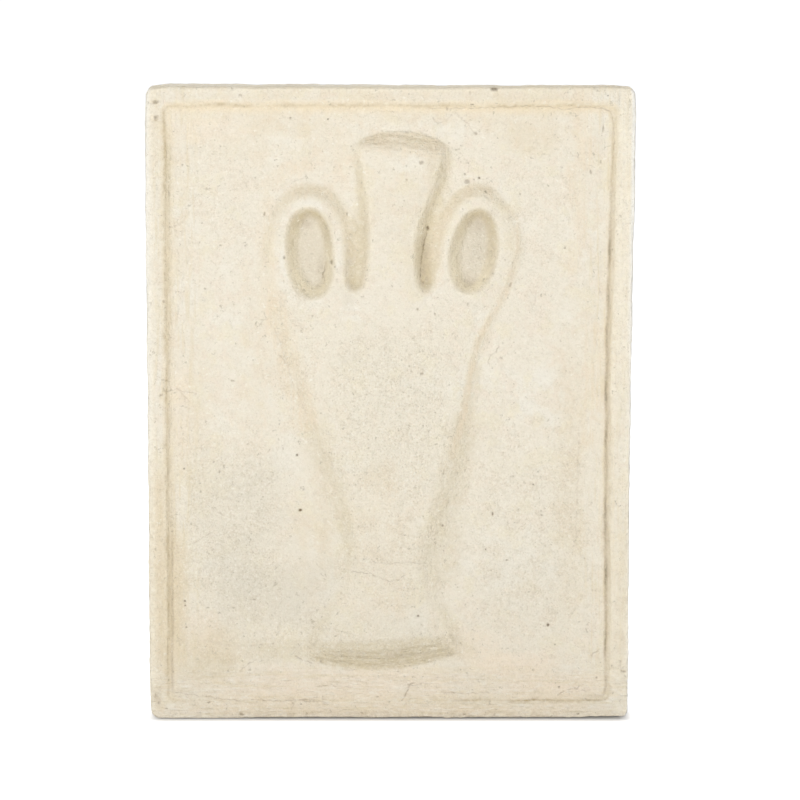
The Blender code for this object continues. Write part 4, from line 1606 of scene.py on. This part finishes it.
def cast_plaster():
    material = bpy.data.materials.new("cast_plaster_aged")
    material.use_nodes = True
    shader = material.node_tree.nodes["Principled BSDF"]
    bench = NodeBench(material.node_tree)

    clouds = bench.noise(0.060, detail=4.0)
    rosy = bench.noise(0.021, detail=4.0, roughness=0.6)
    straw = bench.noise(0.027, detail=4.0, roughness=0.6)
    mottle = bench.noise(0.0075, detail=4.0, roughness=0.6)
    fine = bench.noise(0.0036, detail=3.0, roughness=0.65)
    blotch = bench.noise(0.0062, detail=3.0, roughness=0.5)
    stipple = bench.noise(0.0021, detail=2.0, roughness=0.6)
    strokes_up = bench.noise(0.0042, detail=3.0, stretch=(1.0, 0.5, 0.07))
    strokes_across = bench.noise(0.0042, detail=3.0, stretch=(0.06, 0.5, 1.0))
    dabs = bench.noise(0.0032, detail=3.0, roughness=0.6, stretch=(0.26, 0.5, 1.0))
    chips = bench.noise(0.0068, detail=5.0, roughness=0.72)
    small_specks = bench.specks(0.0075, 0.0011, 0.30)
    large_specks = bench.specks(0.028, 0.0022, 0.35)
    coarse = bench.torn(bench.mask("coarse"), rosy, 1.3)
    sunk = bench.mask("sunk")
    settled = bench.sums("MAXIMUM", bench.mask("slope"), sunk)
    brushed_up = bench.mask("brushed_up")
    brushed_across = bench.mask("brushed_across")
    streaks_up = bench.worn(brushed_up, strokes_up, 0.50, 0.68)
    streaks_across = bench.worn(brushed_across, strokes_across, 0.50, 0.68)
    streaks = bench.sums("MAXIMUM", streaks_up, streaks_across)
    peach = bench.worn("peach", strokes_up, 0.38, 0.60, 0.50, 1.0)
    dirt = bench.mask("dirt")
    dirt_colour = bench.over(CRACK_BROWN, BROWN_DIRT, bench.ramp(dirt, 0.30, 0.60))

    def grains(pattern, on_coarse, everywhere):
        """A pattern at one strength everywhere, and more of it where the plaster is coarse."""
        return bench.times(pattern, bench.plus(bench.times(coarse, on_coarse), everywhere))

    # The numbers after a noise are the part of its range that shows, then the strength at both ends
    layers = (
        (PALE_CREAM, bench.ramp(clouds, 0.48, 0.70, 0.0, 0.8)),
        (ROSE_CREAM, bench.ramp(rosy, 0.48, 0.62, 0.0, 0.6)),
        (STRAW_CREAM, bench.ramp(straw, 0.52, 0.66, 0.0, 0.5)),
        (RUBBED_CREAM, bench.times(coarse, 0.45)),
        (PINK_CREAM, bench.torn(bench.mask("rose"), straw, 0.8)),
        (WARM_CREAM, bench.torn(bench.mask("warm"), rosy, 0.6)),
        (GREY_PLASTER, bench.torn(bench.mask("grey"), clouds, 1.1)),
        (TAN_WASH, bench.times(streaks, 0.45)),
        (YELLOW_WASH, bench.worn("yellowed", straw, 0.40, 0.60, 0.75, 1.0)),
        (TAN_WASH, bench.worn(settled, mottle, 0.30, 0.65, 0.175, 0.35)),
        (SLOT_TAN, bench.worn(sunk, mottle, 0.35, 0.65, 0.5, 0.85)),
        (SLOT_TAN, bench.worn("tan", mottle, 0.32, 0.62, 0.4, 1.2)),
        (PEACH, bench.worn(peach, rosy, 0.35, 0.60, 0.6, 1.0)),
        # Painted shade greys the whole hollow of each eye.
        (EYE_PAINTED_SHADE, bench.ramp(bench.mask("eye"), 0.0, 0.06, 0.0, 0.95)),
        # Painted light on the eyes' lower walls, then their tan walls, stronger towards the top as
        # painted shade.
        (EYE_PAINTED_LIGHT_CREAM, bench.mask("eye_painted_light")),
        (SLOT_TAN, bench.worn("eye_tan_and_shade", mottle, 0.3, 0.6, 0.6, 1.0)),
        (CORNER_OCHRE, bench.worn("hollow", mottle, 0.35, 0.60, 0.096, 0.16)),
        (RUBBED_CREAM, bench.worn("proud", mottle, 0.35, 0.60, 0.28, 0.7)),
        # Painted highlight on the arris.
        (PAINTED_RIM_HIGHLIGHT, bench.mask("arris")),
        # The darker and paler grain below is partly the plaster's own flecks and partly painted shade
        # and painted highlight on its fine relief.
        (DARK_GRAIN_AND_SHADE, grains(bench.ramp(blotch, 0.50, 0.34), 0.10, 0.08)),
        (DARK_GRAIN_AND_SHADE, grains(bench.ramp(stipple, 0.47, 0.30), 0.24, 0.21)),
        (PALE_GRAIN_AND_HIGHLIGHT, grains(bench.ramp(stipple, 0.54, 0.70), 0.46, 0.22)),
        (SPECK, grains(bench.ramp(fine, 0.37, 0.26), 0.30, 0.15)),
        (SPECK, grains(small_specks, 0.3, 0.10)),
        (SPECK, bench.times(large_specks, 0.7)),
        (SPECK, bench.ramp(chips, 0.395, 0.31, 0.0, 0.50)),
        (PALE_GRAIN_AND_HIGHLIGHT, bench.ramp(chips, 0.605, 0.69, 0.0, 0.65)),
        (SLOT_TAN, bench.worn(brushed_across, dabs, 0.47, 0.32, 0.0, 0.24)),
        (PALE_GRAIN_AND_HIGHLIGHT, bench.worn(brushed_across, dabs, 0.52, 0.68, 0.0, 0.40)),
        # Dirt lines, with painted shade along the lowest edge.
        (LINE_BROWN, bench.worn("line", mottle, 0.60, 0.40, 0.55, 0.95)),
        (CRACK_BROWN, bench.worn("smudge", mottle, 0.58, 0.40, 0.15, 0.45)),
        (dirt_colour, bench.worn(dirt, fine, 0.35, 0.55, 0.50, 0.90)),
        (GREY_PLASTER, bench.times(bench.mask("behind"), 0.4)),
    )
    colour = CREAM
    for tint, mask in layers:
        colour = bench.over(colour, tint, mask)
    bench.join(colour, shader.inputs["Base Color"])

    bench.join(bench.ramp(mottle, 0.3, 0.7, 0.82, 0.94), shader.inputs["Roughness"])
    shader.inputs["Specular IOR Level"].default_value = 0.3
    shader.inputs["Metallic"].default_value = 0.0

    across = bench.plus(bench.times(strokes_across, 1.3), bench.times(dabs, 1.5))
    heights = (
        bench.times(stipple, 0.7),
        bench.times(mottle, 1.1),
        bench.times(straw, 2.2),
        bench.times(bench.times(strokes_up, brushed_up), 1.3),
        bench.times(across, brushed_across),
        bench.times(bench.plus(small_specks, large_specks), -0.8),
    )
    height = grains(fine, 1.1, 0.9)
    for more in heights:
        height = bench.plus(height, more)
    bump = bench.add("ShaderNodeBump")
    bump.inputs["Strength"].default_value = 1.0
    bump.inputs["Distance"].default_value = BUMP_DISTANCE
    bench.join(height, bump.inputs["Height"])
    bench.join(bump.outputs["Normal"], shader.inputs["Normal"])
    return material


panel_mesh.materials.append(cast_plaster())
print("plaster nodes:", len(panel_mesh.materials[0].node_tree.nodes))

# %% [markdown]
# ## The floor
#
# The panel stands on a plain white floor for its picture. A floor that is only lit would look grey
# beside the white world, so the camera sees it with some light of its own. That light doesn't
# reach the panel, whose foot would otherwise be lit from below, and it fades out within a few
# centimetres of the panel, where the photograph shows a narrow shadow.

# %% White floor
FLOOR_SIZE = 60.0
FLOOR_GAP = 0.0002
FLOOR_GREY = (0.80, 0.80, 0.80, 1.0)
FLOOR_GLOW = 0.88
# The glow's dip near the panel is a painted shadow.
SHADOW_GLOW = 0.02
SHADOW_REACH = 0.034
SHADOW_FROM = HALF_WIDTH - 0.012
SHADOW_FRONT = 0.036


def floor_glow(bench):
    """How strongly the camera sees the floor glow: hardly near the panel, where this paints a narrow
    shadow, and fully a little away.
    """
    place = bench.add("ShaderNodeSeparateXYZ")
    bench.join(bench.place, place.inputs["Vector"])
    beside = bench.plus(bench.sums("ABSOLUTE", place.outputs["X"]), -SHADOW_FROM)
    middle_depth = bench.sums("ABSOLUTE", bench.plus(place.outputs["Y"], SHADOW_FRONT / 2))
    before = bench.plus(middle_depth, -SHADOW_FRONT / 2)
    beside, before = (bench.sums("MAXIMUM", distance, 0.0) for distance in (beside, before))
    away = bench.sums("POWER", bench.plus(bench.times(beside, beside), bench.times(before, before)), 0.5)
    return bench.ramp(away, 0.0, SHADOW_REACH, SHADOW_GLOW, FLOOR_GLOW)


def floor_white():
    material = bpy.data.materials.new("floor_white")
    material.use_nodes = True
    tree = material.node_tree
    tree.nodes.clear()
    bench = NodeBench(tree)
    matt = bench.add("ShaderNodeBsdfDiffuse")
    matt.inputs["Color"].default_value = FLOOR_GREY
    dark, glow = (bench.add("ShaderNodeEmission") for _ in range(2))
    dark.inputs["Strength"].default_value = 0.0
    bench.join(floor_glow(bench), glow.inputs["Strength"])
    both = bench.add("ShaderNodeAddShader")
    bench.join(matt.outputs["BSDF"], both.inputs[0])
    bench.join(by_viewer(tree, dark, glow), both.inputs[1])
    bench.join(both.outputs["Shader"], bench.add("ShaderNodeOutputMaterial").inputs["Surface"])
    return material


def white_floor(level):
    bm = bmesh.new()
    bmesh.ops.create_grid(bm, x_segments=1, y_segments=1, size=FLOOR_SIZE / 2)
    for vertex in bm.verts:
        vertex.co.z = level
    mesh = bpy.data.meshes.new("studio_floor")
    bm.to_mesh(mesh)
    bm.free()
    mesh.materials.append(floor_white())
    floor = bpy.data.objects.new("studio_floor", mesh)
    bpy.context.scene.collection.objects.link(floor)
    return floor


lowest = min(vertex.co.z for vertex in panel_mesh.vertices)
white_floor(lowest - FLOOR_GAP)
print(f"floor at {(lowest - FLOOR_GAP) * 1000:.1f} mm")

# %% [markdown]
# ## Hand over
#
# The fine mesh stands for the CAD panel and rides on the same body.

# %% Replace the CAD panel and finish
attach(plaster_relief, "root")
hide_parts("relief_panel")
